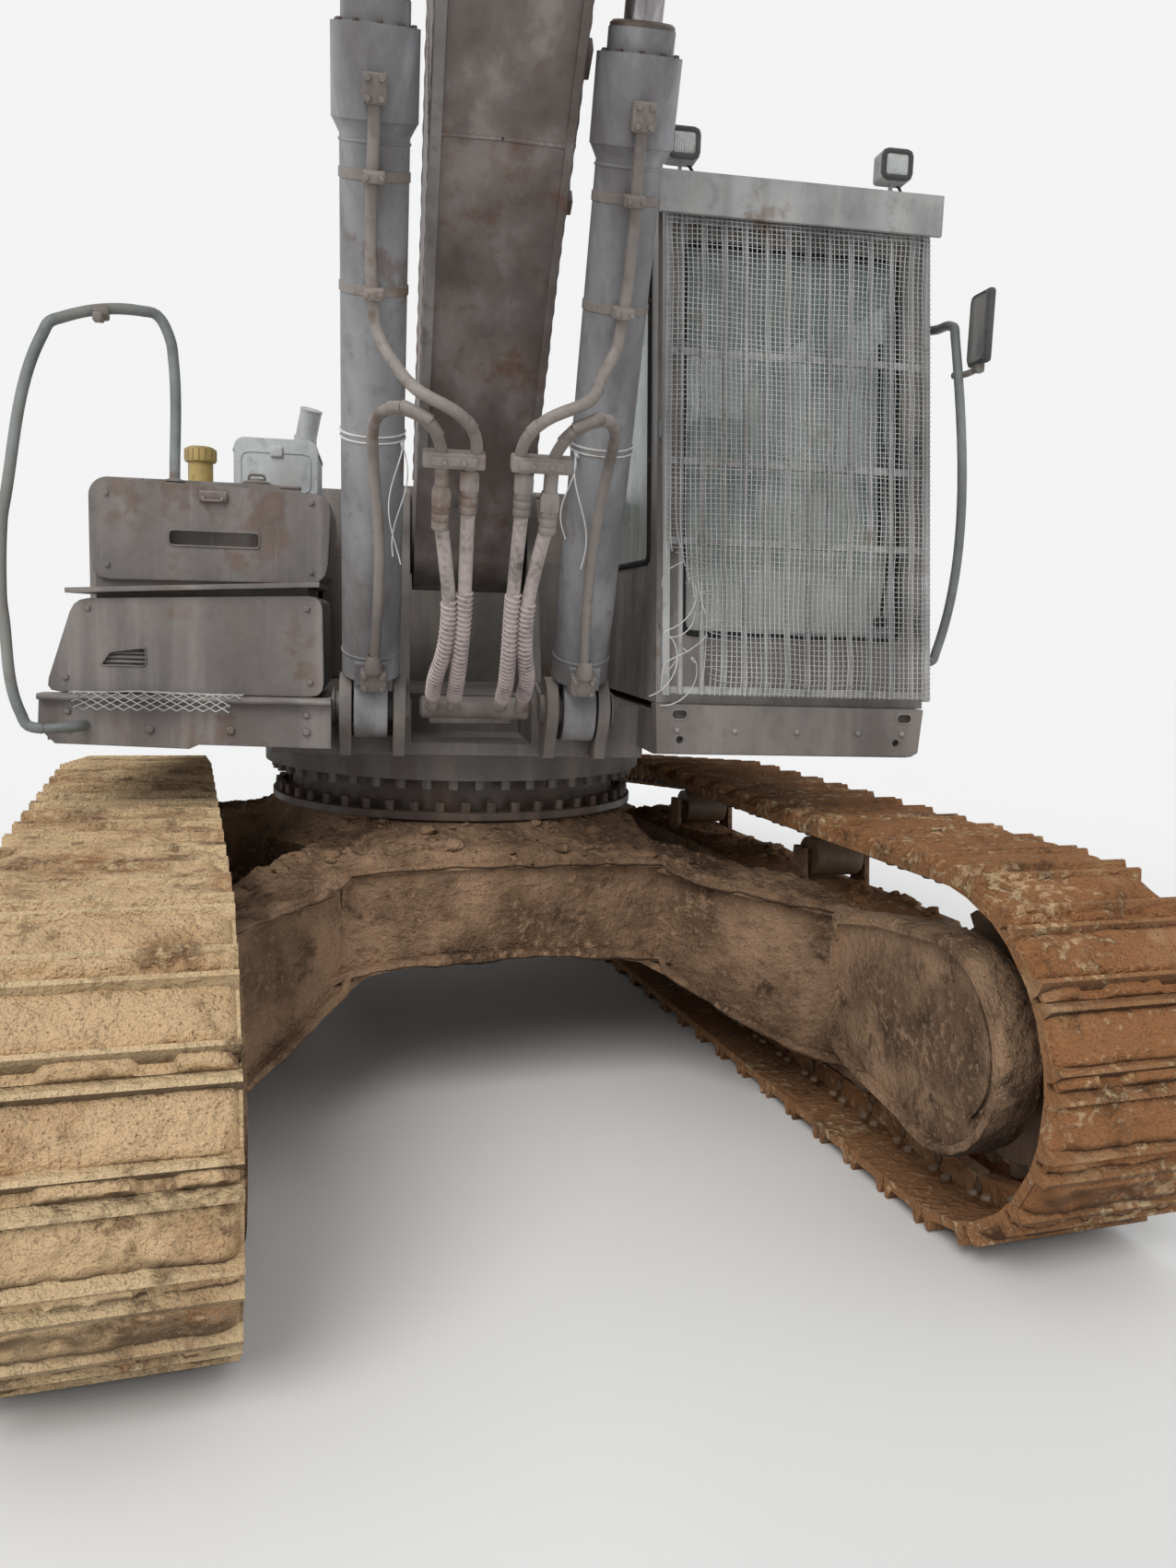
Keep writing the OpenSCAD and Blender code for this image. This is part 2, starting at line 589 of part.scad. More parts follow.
// Cab: hollow shell with its windows cut; its front leans back
cab_z = deck_z + 30;
cab_end = [cab_x + cab_w, deck_left + 10 - cab_l, cab_z + cab_h];
cab_y = -deck_left - 10;
cab_back = cab_y + cab_l;
cab_door_y = [cab_y + 100, cab_y + 1080];
cab_door_z = [cab_z + cab_t, cab_end[2] - 130];
cab_hinge = [cab_end[0] + hinge_out, cab_door_y[1]];
cab_hinge_z = [cab_door_z[0] + 150, cab_door_z[1] - 300];
side_window = [cab_y + 1170, cab_back - 90];
window_z = [cab_z + 780, cab_end[2] - 150];
// Forward distance of the leaning front at height z, less an inset
function lean_at(z, d = 0) = -cab_y - (z - cab_z) * tan(cab_lean) - d;
module cab_side(t) {
    high = cab_end[2] - 70;
    polygon([[lean_at(cab_z + t, t), cab_z + t], [lean_at(high, t), high], [lean_at(high, t) - 60 + t / 2, cab_end[2] - t],
        [-cab_back + 60, cab_end[2] - t], [-cab_back + t, high - t / 2], [-cab_back + t, cab_z + t]]);
}
// A pane or opening with a leaning front edge, inset d from the front and between heights
module leaning(d, back, low, high) {
    polygon([[lean_at(low, d), low], [lean_at(high, d), high], [-back, high], [-back, low]]);
}
module cab_shell() {
    color("#6a655e") for (z = cab_hinge_z) {
        translate([cab_hinge[0], cab_hinge[1], z - 60]) cylinder(h = 60 - seat, r = 11);
        span([cab_end[0] - 5, cab_hinge[1] + 2, z - 60], [cab_hinge[0], cab_hinge[1] + 60, z - seat]);
    }
    color("#6a655e") difference() {
        side(cab_x, cab_w) cab_side(0);
        side(cab_x + cab_t, cab_w - 2 * cab_t) cab_side(cab_t);
        translate([0, cab_y, cab_z]) rotate([-cab_lean, 0, 0])
            span([cab_x + 90, -60, 240], [cab_end[0] - 90, 130, cab_h - 150]);
        span([cab_x + 100, cab_back - 100, window_z[0]], [cab_end[0] - 100, cab_back + 1, window_z[1]]);
        side(cab_x - 1, cab_t + 2) leaning(110, side_window[1], cab_z + 480, window_z[1]);
        span([cab_end[0] - cab_t - 1, side_window[0], window_z[0]], [cab_end[0] + 1, side_window[1], window_z[1]]);
        side(cab_end[0] - cab_t - 1, cab_t + 2) leaning(100, cab_door_y[1], cab_door_z[0], cab_door_z[1]);
    }
}
module cab_door() {
    color("#6a655e") {
        side(cab_end[0] - cab_t, cab_t) difference() {
            leaning(100 + gap, cab_door_y[1] - gap, cab_door_z[0] + gap, cab_door_z[1] - gap);
            leaning(190, cab_door_y[1] - 90, cab_door_z[0] + 520, cab_door_z[1] - 90);
        }
        for (z = cab_hinge_z) {
            translate([cab_hinge[0], cab_hinge[1], z]) cylinder(h = 80, r = 11);
            span([cab_end[0] - 1, cab_hinge[1] - 60, z], [cab_hinge[0], cab_hinge[1] - 2, z + 80]);
        }
        span([cab_end[0] - 1, cab_door_y[0] + 190, cab_door_z[0] + 400], [cab_end[0] + 20, cab_door_y[0] + 330, cab_door_z[0] + 460]);
    }
}
module door_glass() {
    color("#9fc0b4", 0.5) side(cab_end[0] - cab_t / 2 - glass_t, glass_t)
        leaning(190 + seat, cab_door_y[1] - 90 - seat, cab_door_z[0] + 520 + seat, cab_door_z[1] - 90 - seat);
}
module cab_glass() {
    mid = cab_t / 2;
    color("#9fc0b4", 0.5) {
        translate([0, cab_y, cab_z]) rotate([-cab_lean, 0, 0])
            span([cab_x + 90 + seat, mid, 240 + seat], [cab_end[0] - 90 - seat, mid + glass_t, cab_h - 150 - seat]);
        span([cab_x + 100 + seat, cab_back - mid - glass_t, window_z[0] + seat], [cab_end[0] - 100 - seat, cab_back - mid, window_z[1] - seat]);
        side(cab_x + mid, glass_t) leaning(110 + seat, side_window[1] - seat, cab_z + 480 + seat, window_z[1] - seat);
        span([cab_end[0] - mid - glass_t, side_window[0] + seat, window_z[0] + seat], [cab_end[0] - mid, side_window[1] - seat, window_z[1] - seat]);
    }
}
module cab_seat() {
    floor_z = cab_z + cab_t + seat;
    mid = cab_x + cab_w / 2;
    color("#3c3a3a") {
        span([mid - 170, -620, floor_z], [mid + 170, -180, floor_z + 330]);
        front(-700, 540) rrect([mid - 250, floor_z + 320], [500, 130], 40);
        span([mid - 240, -190, floor_z + 400], [mid + 240, -70, floor_z + 1080]);
        for (m = [-1, 1]) {
            front(-760, 560) rrect([mid + m * 330 - 70, floor_z + 380], [140, 180], 30);
            span([mid + m * 330 - 40, -500, floor_z], [mid + m * 330 + 40, -260, floor_z + 390]);
            translate([mid + m * 330, -700, floor_z + 550]) cylinder(h = 190, r = 18);
        }
    }
}
// Guard of bars over the cab's front window, leaning with it
guard_d = 60;
guard_h = cab_h - 40;
bars = 12;
rails_z = [40, 545, 815, 1190, guard_h - 50];
module front_guard() {
    color("#5f5850") translate([0, cab_y, cab_z]) rotate([-cab_lean, 0, 0]) {
        for (x = [cab_x + 4, cab_end[0] - 29]) span([x, -guard_d - 12, 20], [x + 25, -guard_d + 13, guard_h]);
        for (z = rails_z) span([cab_x + 4, -guard_d + 5, z - 12], [cab_end[0] - 4, -guard_d + 17, z + 12]);
        for (i = [0:bars - 1]) translate([cab_x + 68 + i * (cab_w - 136) / (bars - 1), -guard_d, 25])
            cylinder(h = guard_h - 30, r = 9, $fn = 16);
        for (x = [cab_x + 4, cab_end[0] - 29], z = [260, 900])
            span([x, -guard_d + 10, z], [x + 25, -seat, z + 60]);
    }
}
module roof_visor() {
    top = cab_end[2];
    y = cab_y + cab_h * tan(cab_lean);
    color("#5f5850") {
        span([cab_x - 25, y - 140, top + seat], [cab_end[0] + 15, y + 160, top + 28]);
        span([cab_x - 25, y - 140, top - 105], [cab_end[0] + 15, y - 122, top + 10]);
        for (x = [cab_x + 10, cab_end[0] - 190]) {
            span([x + 35, y - 30, top + 20], [x + 75, y - 14, top + 60]);
            span([x + 50, y - 30, top + 50], [x + 60, y - 14, top + 100]);
            front(y - 70, 75) rrect([x, top + 90], [110, 100], 14);
        }
    }
}
module cab_skirt() {
    low = frame_z + 55;
    color("#6e645a") difference() {
        front(-deck_left - 75, 75 - seat) polygon([[cab_x - 5, low], [cab_end[0] - 60, low], [cab_end[0] - 35, low + 15],
            [cab_end[0] - 25, cab_z - seat], [cab_x - 15, cab_z - seat]]);
        for (x = [cab_x + 40, cab_end[0] - 120]) front(-deck_left - 76, 30) rrect([x, cab_z - 50], [55, 34], 16);
        for (x = [cab_x + 60, cab_end[0] - 130]) front(-deck_left - 76, 30) rrect([x, cab_z - 130], [24, 24], 11);
    }
}
module cab_rail() {
    x = cab_end[0] + 60;
    y = cab_y + 30;
    color("#8c867c") {
        tube(rounded([[cab_end[0] + seat, y + 15, cab_z + 160], [x, y + 15, cab_z + 160], [x, y + 40, cab_z + 1320],
            [x, y + 250, cab_z + 1345], [cab_end[0] + seat, y + 250, cab_z + 1345]], 28), 16);
        tube(rounded([[x, y + 36, cab_z + 1150], [x + 45, y - 60, cab_z + 1150], [x + 45, y - 60, cab_z + 1400]], 40), 11);
        translate([x + 45, y - 60, cab_z + 1290]) cube([28, 130, 240], center = true);
    }
}

// Boom: box of plates bent in the middle, forked at the arm
fork_in = arm_w / 2 + gap;
module boom_outline() {
    polygon([[-60, -205], [500, -85], [1174, 130], [1974, 300], [2500, 420], [2900, 500], [3250, 545], [3600, 545],
        [4300, 440], [5400, 110], [6200, -150], [boom_l, -185], [boom_l + 60, 170], [6100, 290],
        [5300, 690], [4300, 1120], [3750, 1330], [3400, 1425], [3000, 1425], [2600, 1325],
        [1700, 930], [900, 560], [60, 215]]);
    circle(210);
    translate([boom_l, 0]) circle(185);
}
module boom() {
    color("#4e3c30") member(foot, boom_deg) difference() {
        union() {
            side(-boom_w / 2, boom_w) boom_outline();
            rod_x(0, 2 * tower_in - 2 * gap, 150);
            both() {
                pin_at(lift_pin, boom_w / 2 + 25, 50, 115);
                side(65, 40) {
                    translate(arm_base) circle(95);
                    polygon([arm_base + [-330, -240], arm_base + [130, -230], arm_base + [85, 35], arm_base + [-80, 50]]);
                }
            }
            pin_at(arm_base, 0, 240, 40);
            pin_at([boom_l, 0], 0, boom_w + 50, 55);
        }
        difference() {
            span([-fork_in, -boom_l - 300, -300], [fork_in, -boom_l + 500, 400]);
            pin_at([boom_l, 0], 0, boom_w, 55);
        }
        rod_x(0, boom_w + 100, 60 + fit);
    }
}
// Boom cylinders
lift_l = norm(lift_at - base_pin);
boom_rod_l = 2040;
module boom_barrels() {
    color("#57514b") strut(base_pin, lift_at) both() translate([cyl_x, 0, 0]) difference() {
        union() {
            rod_x(0, eye_w, 108);
            cylinder(h = 150, r = 53);
            translate([0, 0, 128]) cylinder(h = boom_barrel_l - 288, r = boom_cyl_d / 2);
            translate([0, 0, boom_barrel_l - 260]) cylinder(h = 220, r = boom_cyl_d / 2 + 22);
            translate([0, 0, boom_barrel_l - 300]) cylinder(h = 42, r1 = boom_cyl_d / 2 - 2, r2 = boom_cyl_d / 2 + 21);
            translate([0, 0, boom_barrel_l - 60]) cylinder(h = 80, r = boom_cyl_d / 2 - 4);
            translate([-52, -boom_cyl_d / 2 - 12, 124]) cube([104, 60, 76]);
        }
        rod_x(0, eye_w + 2, pin_r + fit);
        translate([0, 0, 165]) cylinder(h = boom_barrel_l, r = boom_rod_d / 2 + fit);
    }
}
module boom_pipes() {
    r = boom_cyl_d / 2;
    x = cyl_x;
    front_y = -r - pipe_r - 28;
    color("#5f5850") strut(base_pin, lift_at) {
        both() {
            tube(rounded([[x, front_y, boom_barrel_l - 190], [x - 2, front_y, 1235], [x - 52, -195, 1168],
                [238, -428, 1138], [112, -420, 1084], [64, -385, 1020], [62, hose_y, 955]], 60), pipe_r, 10);
            tube(rounded([[x - 8, front_y, 150], [x - 26, front_y, 600], [x, -155, 900], [x, -235, 1012],
                [312, -345, 1072], [262, -404, 1088], [205, -414, 1064], [168, -380, 1010], [158, hose_y, 955]], 70), pipe_r, 10);
            translate([x, -r - 22 - seat - 26, boom_barrel_l - 185]) cube([64, 52, 74], center = true);
            translate([x - 8, -r - 12 - seat - 24, 155]) cube([84, 48, 70], center = true);
            for (z = [1330, 1620]) translate([x, -r - seat - 31, z]) cube([60, 62, 34], center = true);
            span([36, hose_y - 34, 915], [212, hose_y + 18, 962]);
            span([60, hose_y - 40, 925], [190, hose_y - 20, 952]);
            for (h = hose_tops) {
                translate([h[0], hose_y, h[1] - 62]) cylinder(h = 915 - h[1] + 64, r = pipe_r + 4);
                translate([h[0], hose_y, h[1] - 62]) cylinder(h = 60, r = 31, $fn = 6);
                translate([h[0], hose_y, h[1] - 135]) cylinder(h = 80, r = hose_r + 5);
            }
            tube(rounded([[hose_tops[0][0], hose_y, hose_tops[0][1] - 100], [140, hose_y + 24, 660], [116, hose_y + 46, 475],
                [122, -262, 330], [150, -200, 200], [150, -110, 95], [150, -10, 0]], 60), hose_r, 10);
            tube(rounded([[hose_tops[1][0], hose_y, hose_tops[1][1] - 100], [76, hose_y + 24, 672], [73, hose_y + 46, 477],
                [76, -262, 320], [80, -200, 185], [80, -110, 85], [80, -10, 0]], 60), hose_r, 10);
        }
        rod_x(0, 2 * 185, 38);
    }
}
module boom_rods() {
    color("#8a7468") strut(base_pin, lift_at) both() translate([cyl_x, 0, lift_l]) {
        rod_x(0, 120, 108);
        rod_x(0, 134, 60);
        translate([0, 0, -boom_rod_l]) cylinder(h = boom_rod_l - 60, r = boom_rod_d / 2);
    }
}
// Arm cylinder on top of the boom
arm_base_at = along(foot, boom_deg, arm_base);
arm_pin_at = along(boom_tip, arm_deg, arm_pin);
crowd_l = norm(arm_pin_at - arm_base_at);
crowd_barrel_l = 2330;
crowd_rod_l = 2350;
crowd_rod_r = 55;
module arm_barrel() {
    color("#57514b") strut(arm_base_at, arm_pin_at) difference() {
        union() {
            rod_x(0, 120, 95);
            cylinder(h = 160, r = 58);
            translate([0, 0, 130]) cylinder(h = crowd_barrel_l - 270, r = 90);
            translate([0, 0, crowd_barrel_l - 220]) cylinder(h = 220, r = 105);
        }
        rod_x(0, 122, 40 + fit);
        translate([0, 0, 120]) cylinder(h = crowd_barrel_l, r = crowd_rod_r + fit);
    }
}
module arm_rod() {
    color("#8a7468") strut(arm_base_at, arm_pin_at) translate([0, 0, crowd_l]) {
        rod_x(0, 110, 90);
        translate([0, 0, -crowd_rod_l]) cylinder(h = crowd_rod_l - 50, r = crowd_rod_r);
    }
}
// Arm: tapered box with the lugs of its cylinders
module arm() {
    color("#4e3c30") member(boom_tip, arm_deg) difference() {
        union() {
            side(-arm_w / 2, arm_w) {
                polygon([[-600, 170], [-60, -190], [400, -215], [arm_l, -100], [arm_l, 100], [arm_l - 500, 150],
                    [1000, 400], [300, 470], [-600, 470]]);
                circle(195);
                translate([arm_l, 0]) circle(110);
            }
            both() side(65, 45) {
                translate(arm_pin) circle(95);
                polygon([[arm_pin[0] - 20, arm_pin[1] - 93], [-560, 150], [-400, 470], [-600, 482], [arm_pin[0], arm_pin[1] + 95]]);
            }
            both() side(60, 35) {
                translate(curl_base) circle(80);
                polygon([[curl_base[0] - 260, 380], [curl_base[0] + 95, 350], [curl_base[0] + 70, curl_base[1] + 30],
                    [curl_base[0] - 60, curl_base[1] + 50]]);
            }
            pin_at(curl_base, 0, 210, 35);
            pin_at(rocker_pin, 0, arm_w + 90, 40);
            pin_at([arm_l, 0], 0, arm_w + 150, 45);
        }
        rod_x(0, arm_w + 2, 55 + fit);
    }
}
// Bucket cylinder on the front of the arm
curl_at = along(boom_tip, arm_deg, curl_base);
curl_l = norm(knee_at - curl_at);
curl_barrel_l = 1780;
curl_rod_l = 1870;
module bucket_barrel() {
    color("#57514b") strut(curl_at, knee_at) difference() {
        union() {
            rod_x(0, 110, 80);
            cylinder(h = 120, r = 52);
            translate([0, 0, 105]) cylinder(h = curl_barrel_l - 235, r = 77);
            translate([0, 0, curl_barrel_l - 200]) cylinder(h = 200, r = 92);
        }
        rod_x(0, 112, 35 + fit);
        translate([0, 0, 100]) cylinder(h = curl_barrel_l, r = 45 + fit);
    }
}
module bucket_rod() {
    color("#8a7468") strut(curl_at, knee_at) translate([0, 0, curl_l]) {
        rod_x(0, 100, 78);
        translate([0, 0, -curl_rod_l]) cylinder(h = curl_rod_l - 40, r = 45);
    }
}
rocker_in = arm_w / 2 + gap;
module bucket_rocker() {
    color("#4e3c30") member(rocker_at, rocker_deg) both() difference() {
        side(rocker_in, 34) {
            circle(80);
            translate([rocker_l, 0]) circle(75);
            polygon([[0, -78], [rocker_l, -60], [rocker_l, 60], [0, 78]]);
        }
        rod_x(rocker_in, 100, 40 + fit);
    }
}
module bucket_link() {
    color("#4e3c30") member(ear_at, slope(ear_at, knee_at)) difference() {
        union() {
            both() side(115, 45) {
                circle(78);
                translate([link_l, 0]) circle(72);
                polygon([[0, -70], [link_l, -60], [link_l, 60], [0, 70]]);
            }
            side(-116, 232) polygon([[130, -50], [link_l - 240, -50], [link_l - 240, 50], [130, 50]]);
        }
        rod_x(0, 400, 40 + fit);
    }
}
// Bucket: rolled shell between side plates, with ears and teeth
bucket_c = [700, 230];
bucket_r = 620;
lip = [1400, -10];
bucket_teeth = 5;
ear_in = arm_w / 2 + gap;
module bucket() {
    half_w = bucket_w / 2;
    color("#6a4c38") member(bucket_at, bucket_deg) {
        difference() {
            side(-half_w, bucket_w) polygon([lip, each arc(bucket_c, bucket_r, 0, 180, 18), [140, 115], [165, 10]]);
            side(-half_w + 40, bucket_w - 80)
                polygon([lip - [40, 0], each arc(bucket_c, bucket_r - 35, -2, 180, 18), [172, 125], [197, 0], [197, -300], [lip[0] - 40, -300]]);
        }
        both() side(half_w - 40, 40) polygon([[82, 230], [64, -150], [560, -95], [1360, -12], [165, 12]]);
        for (i = [0:bucket_teeth - 1]) side(-half_w + 10 + i * (bucket_w - 110) / (bucket_teeth - 1), 90)
            polygon([[lip[0] - 60, -50], [lip[0] + 30, -55], [tip_r, -12], [tip_r, 8], [lip[0] + 20, 70], [lip[0] - 60, 60]]);
        difference() {
            both() side(ear_in, 50) {
                circle(112);
                translate(ear_pin) circle(85);
                polygon([[-110, 0], ear_pin - [85, 0], ear_pin + [0, 85], [220, 560], [180, -60]]);
            }
            rod_x(0, 2 * ear_in + 200, 45 + fit);
        }
        translate([0, -ear_pin[0], ear_pin[1]]) rod_x(0, 2 * ear_in + 130, 40);
    }
}

x_frame();
frame_legs();
left_track_frame();
right_track_frame();
left_track();
right_track();
sprockets();
idlers();
rollers();
motor_guards();
slew_ring();
upper_frame();
counterweight();
engine_block();
engine_housing();
engine_hood();
left_side_door();
right_side_door();
tanks();
filler_neck();
rear_box();
tool_box();
front_step();
handrails();
exhaust();
cab_shell();
cab_door();
door_glass();
cab_glass();
cab_seat();
front_guard();
roof_visor();
cab_skirt();
cab_rail();
boom();
boom_barrels();
boom_pipes();
boom_rods();
arm_barrel();
arm_rod();
arm();
bucket_barrel();
bucket_rod();
bucket_rocker();
bucket_link();
bucket();
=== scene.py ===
"""Crawler excavator: finishes for the built solids, and the
clay, mesh, wire, weld and trim pieces on them."""
import bpy, bmesh, json
import numpy as np
from mathutils import Matrix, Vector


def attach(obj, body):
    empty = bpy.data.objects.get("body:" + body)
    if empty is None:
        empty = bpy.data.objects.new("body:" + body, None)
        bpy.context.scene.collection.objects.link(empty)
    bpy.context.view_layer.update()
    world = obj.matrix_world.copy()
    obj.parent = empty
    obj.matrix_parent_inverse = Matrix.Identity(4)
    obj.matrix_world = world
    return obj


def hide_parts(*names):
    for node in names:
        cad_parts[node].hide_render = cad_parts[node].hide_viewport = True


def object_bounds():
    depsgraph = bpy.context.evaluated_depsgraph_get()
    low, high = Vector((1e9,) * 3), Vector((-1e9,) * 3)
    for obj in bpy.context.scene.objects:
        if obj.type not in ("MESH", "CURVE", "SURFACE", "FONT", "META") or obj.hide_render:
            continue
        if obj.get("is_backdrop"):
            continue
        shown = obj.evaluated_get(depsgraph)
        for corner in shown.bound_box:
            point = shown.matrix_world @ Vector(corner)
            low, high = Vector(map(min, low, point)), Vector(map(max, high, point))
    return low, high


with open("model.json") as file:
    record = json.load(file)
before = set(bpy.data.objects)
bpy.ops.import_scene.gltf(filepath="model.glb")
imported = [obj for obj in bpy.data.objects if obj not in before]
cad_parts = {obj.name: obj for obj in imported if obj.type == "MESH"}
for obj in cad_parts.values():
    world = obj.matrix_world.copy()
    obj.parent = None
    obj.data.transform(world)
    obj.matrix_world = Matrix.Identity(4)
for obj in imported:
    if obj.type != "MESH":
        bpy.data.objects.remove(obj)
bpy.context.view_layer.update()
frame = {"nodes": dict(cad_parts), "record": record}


# Camera: the photograph's viewpoint, as eye, heading, dip and roll in the machine's frame
def set_camera():
    eye, heading, dip, roll, focal = (-0.326, -5.233, 1.791), 9.94, 7.65, 1.93, 1313.0
    h, d, r = np.radians([heading, dip, roll])
    ahead = np.array([np.sin(h) * np.cos(d), np.cos(h) * np.cos(d), -np.sin(d)])
    right = np.array([np.cos(h), -np.sin(h), 0.0])
    up = np.cross(right, ahead)
    right, up = right * np.cos(r) + up * np.sin(r), up * np.cos(r) - right * np.sin(r)
    data = bpy.data.cameras.new("camera")
    data.sensor_fit, data.sensor_width, data.sensor_height = "VERTICAL", 36.0, 36.0
    data.lens, data.clip_start = focal * 36.0 / 1702.0, 0.05
    cam = bpy.data.objects.new("camera", data)
    cam.matrix_world = Matrix([[right[i], up[i], -ahead[i], eye[i]] for i in range(3)] + [[0, 0, 0, 1]])
    bpy.context.scene.collection.objects.link(cam)
    bpy.context.scene.camera = cam


set_camera()

# Shapes. A shape is (points, quads); a closed end is a ring drawn in to one point, welded later.


def unit(v):
    """Vectors over their own lengths."""
    return v / np.maximum(np.linalg.norm(v, axis=-1, keepdims=True), 1e-12)


def lumps(points, size, seed=0, layers=3):
    """Rolling unevenness from about -1 to 1: random heights on a lattice of the given
    size, blended smoothly between its knots, with finer layers at half the height each."""
    points = np.asarray(points, float)
    total = np.zeros(points.shape[:-1])
    for layer in range(layers):
        table = np.random.default_rng(seed * 31 + layer).uniform(-1, 1, (16, 16, 16))
        q = points * 2 ** layer / size + 7.3 * layer
        cell = np.floor(q).astype(int)
        f = q - cell
        f = f * f * (3 - 2 * f)
        for corner in np.ndindex(2, 2, 2):
            share = np.prod(np.where(corner, f, 1 - f), axis=-1)
            i = (cell + corner) % 16
            total += share * table[i[..., 0], i[..., 1], i[..., 2]] / 2 ** layer
    return total


def skin(points, wrap=False):
    """Quads between neighbours of a grid of points (rows,
    columns, 3); wrap joins the last column to the first."""
    ids = np.arange(points.shape[0] * points.shape[1]).reshape(points.shape[:2])
    if wrap:
        ids = np.concatenate([ids, ids[:, :1]], 1)
    quads = np.stack([ids[:-1, :-1], ids[1:, :-1], ids[1:, 1:], ids[:-1, 1:]], -1).reshape(-1, 4)
    return points.reshape(-1, 3), quads


def merge(shapes):
    """Several shapes as one."""
    points = [s[0] for s in shapes]
    starts = np.cumsum([0] + [len(p) for p in points[:-1]])
    return np.concatenate(points), np.concatenate([s[1] + n for s, n in zip(shapes, starts)])


def copies(shape, places, turns=None):
    """The shape at each place (k, 3), turned there by its 3 x 3 matrix."""
    places = np.asarray(places, float).reshape(-1, 3)
    turns = np.eye(3) if turns is None else np.asarray(turns, float)
    turns = np.broadcast_to(turns, (len(places), 3, 3))
    points = np.einsum("kij,nj->kni", turns, shape[0]) + places[:, None]
    quads = shape[1][None] + (np.arange(len(places)) * len(shape[0]))[:, None, None]
    return points.reshape(-1, 3), quads.reshape(-1, 4)


def across(shape):
    """The shape and its mirror image over the middle plane."""
    return merge([shape, (shape[0] * [-1, 1, 1], shape[1][:, ::-1])])


def crust(top, under):
    """A closed skin between two grids of points: the top's rows
    run back along the under side, and both ends close."""
    ring = np.concatenate([top, under[:, ::-1]], 1)
    ends = [skin(np.stack([top[i], under[i]])) for i in (0, -1)]
    return merge([skin(ring, True)] + ends)


def carried(paths, outline, lead=None, scale=1.0):
    """An outline carried along paths: at each station it stands square to the path, its second
    direction as near the lead direction as it can be; each end is drawn in to a point. Paths
    are (paths, stations, 3) or (stations, 3), the outline pairs, scaled at each station."""
    paths = np.asarray(paths, float)
    paths = paths[None] if paths.ndim == 2 else paths
    ahead = unit(np.gradient(paths, axis=1))
    if lead is None:
        lead = np.eye(3)[np.abs(ahead).max((0, 1)).argmin()]
    side = unit(np.cross(ahead, lead))
    up = np.cross(side, ahead)
    scale = np.broadcast_to(np.asarray(scale, float), paths.shape[:2])[..., None, None]
    outline = np.asarray(outline, float)
    rings = paths[:, :,
        None] + scale * (outline[:, :1] * side[:, :, None] + outline[:, 1:] * up[:, :, None])
    ends = [np.repeat(paths[:, i, None, None], len(outline), 2) for i in (0, -1)]
    rings = np.concatenate([ends[0], rings, ends[1]], 1)
    quads = skin(rings[0],
        True)[1][None] + (np.arange(len(rings)) * rings[0, :, :, 0].size)[:, None, None]
    return rings.reshape(-1, 3), quads.reshape(-1, 4)


def bars(paths, radius, sides=8, lead=None):
    """Round bars: a circle of the radius at each station, carried along the paths."""
    turn = np.arange(sides) * 2 * np.pi / sides
    return carried(paths, np.stack([np.cos(turn), np.sin(turn)], -1), lead, radius)


def box_outline(a, b):
    """A rectangle's corners, a and b being half its sides."""
    return np.array([[-a, -b], [a, -b], [a, b], [-a, b]])


def turned(profile, sides=24, axis=(0, 0, 1), at=(0, 0, 0)):
    """A turned piece: the profile, pairs of radius and height, carried round the axis through a point."""
    profile = np.asarray(profile, float)
    axis = unit(np.asarray(axis, float))
    x = unit(np.cross(axis, np.eye(3)[np.abs(axis).argmin()]))
    y = np.cross(axis, x)
    turn = np.arange(sides) * 2 * np.pi / sides
    ring = np.cos(turn)[:, None] * x + np.sin(turn)[:, None] * y
    points = profile[:, :1, None] * ring + profile[:, 1:, None] * axis + np.asarray(at, float)
    return skin(points, True)


def rod(r, low, high, sides, axis=(0, 0, 1), at=(0, 0, 0)):
    """A plain turned bar between two heights on its axis."""
    return turned([[0, low], [r, low], [r, high], [0, high]], sides, axis, at)


def cushion(low, high, r, corner=3):
    """A block with soft corners: a rounded rectangle carried upwards, drawn in
    by r along a quarter circle at both ends, which close at their middles."""
    low, high = np.asarray(low, float), np.asarray(high, float)
    r = min(r, 0.49 * (high - low).min())
    bow = np.linspace(0, np.pi / 2, corner + 1)
    turn = np.concatenate([bow + i * np.pi / 2 for i in range(4)])
    sign = np.repeat([[1, 1], [-1, 1], [-1, -1], [1, -1]], corner + 1, 0)
    middle, half = (low + high) / 2, (high - low) / 2
    draw = np.concatenate([[0], np.sin(bow), np.sin(bow[::-1]), [0]])
    lift = np.concatenate([[0], 1 - np.cos(bow), 1 - np.cos(bow[::-1]), [0]]) * r
    z = np.concatenate([low[2] + lift[:corner + 2], high[2] - lift[corner + 2:]])
    outline = sign * (half[:2] - r) + r * draw[:, None, None] * np.stack([np.cos(turn), np.sin(turn)], -1)
    outline[[0, -1]] *= 0.0
    points = np.empty(outline.shape[:2] + (3,))
    points[..., :2] = outline + middle[:2]
    points[..., 2] = z[:, None]
    return skin(points, True)


def lengths(path):
    """How far along a line each of its points lies."""
    return np.concatenate([[0], np.cumsum(np.linalg.norm(np.diff(path, axis=0), axis=1))])


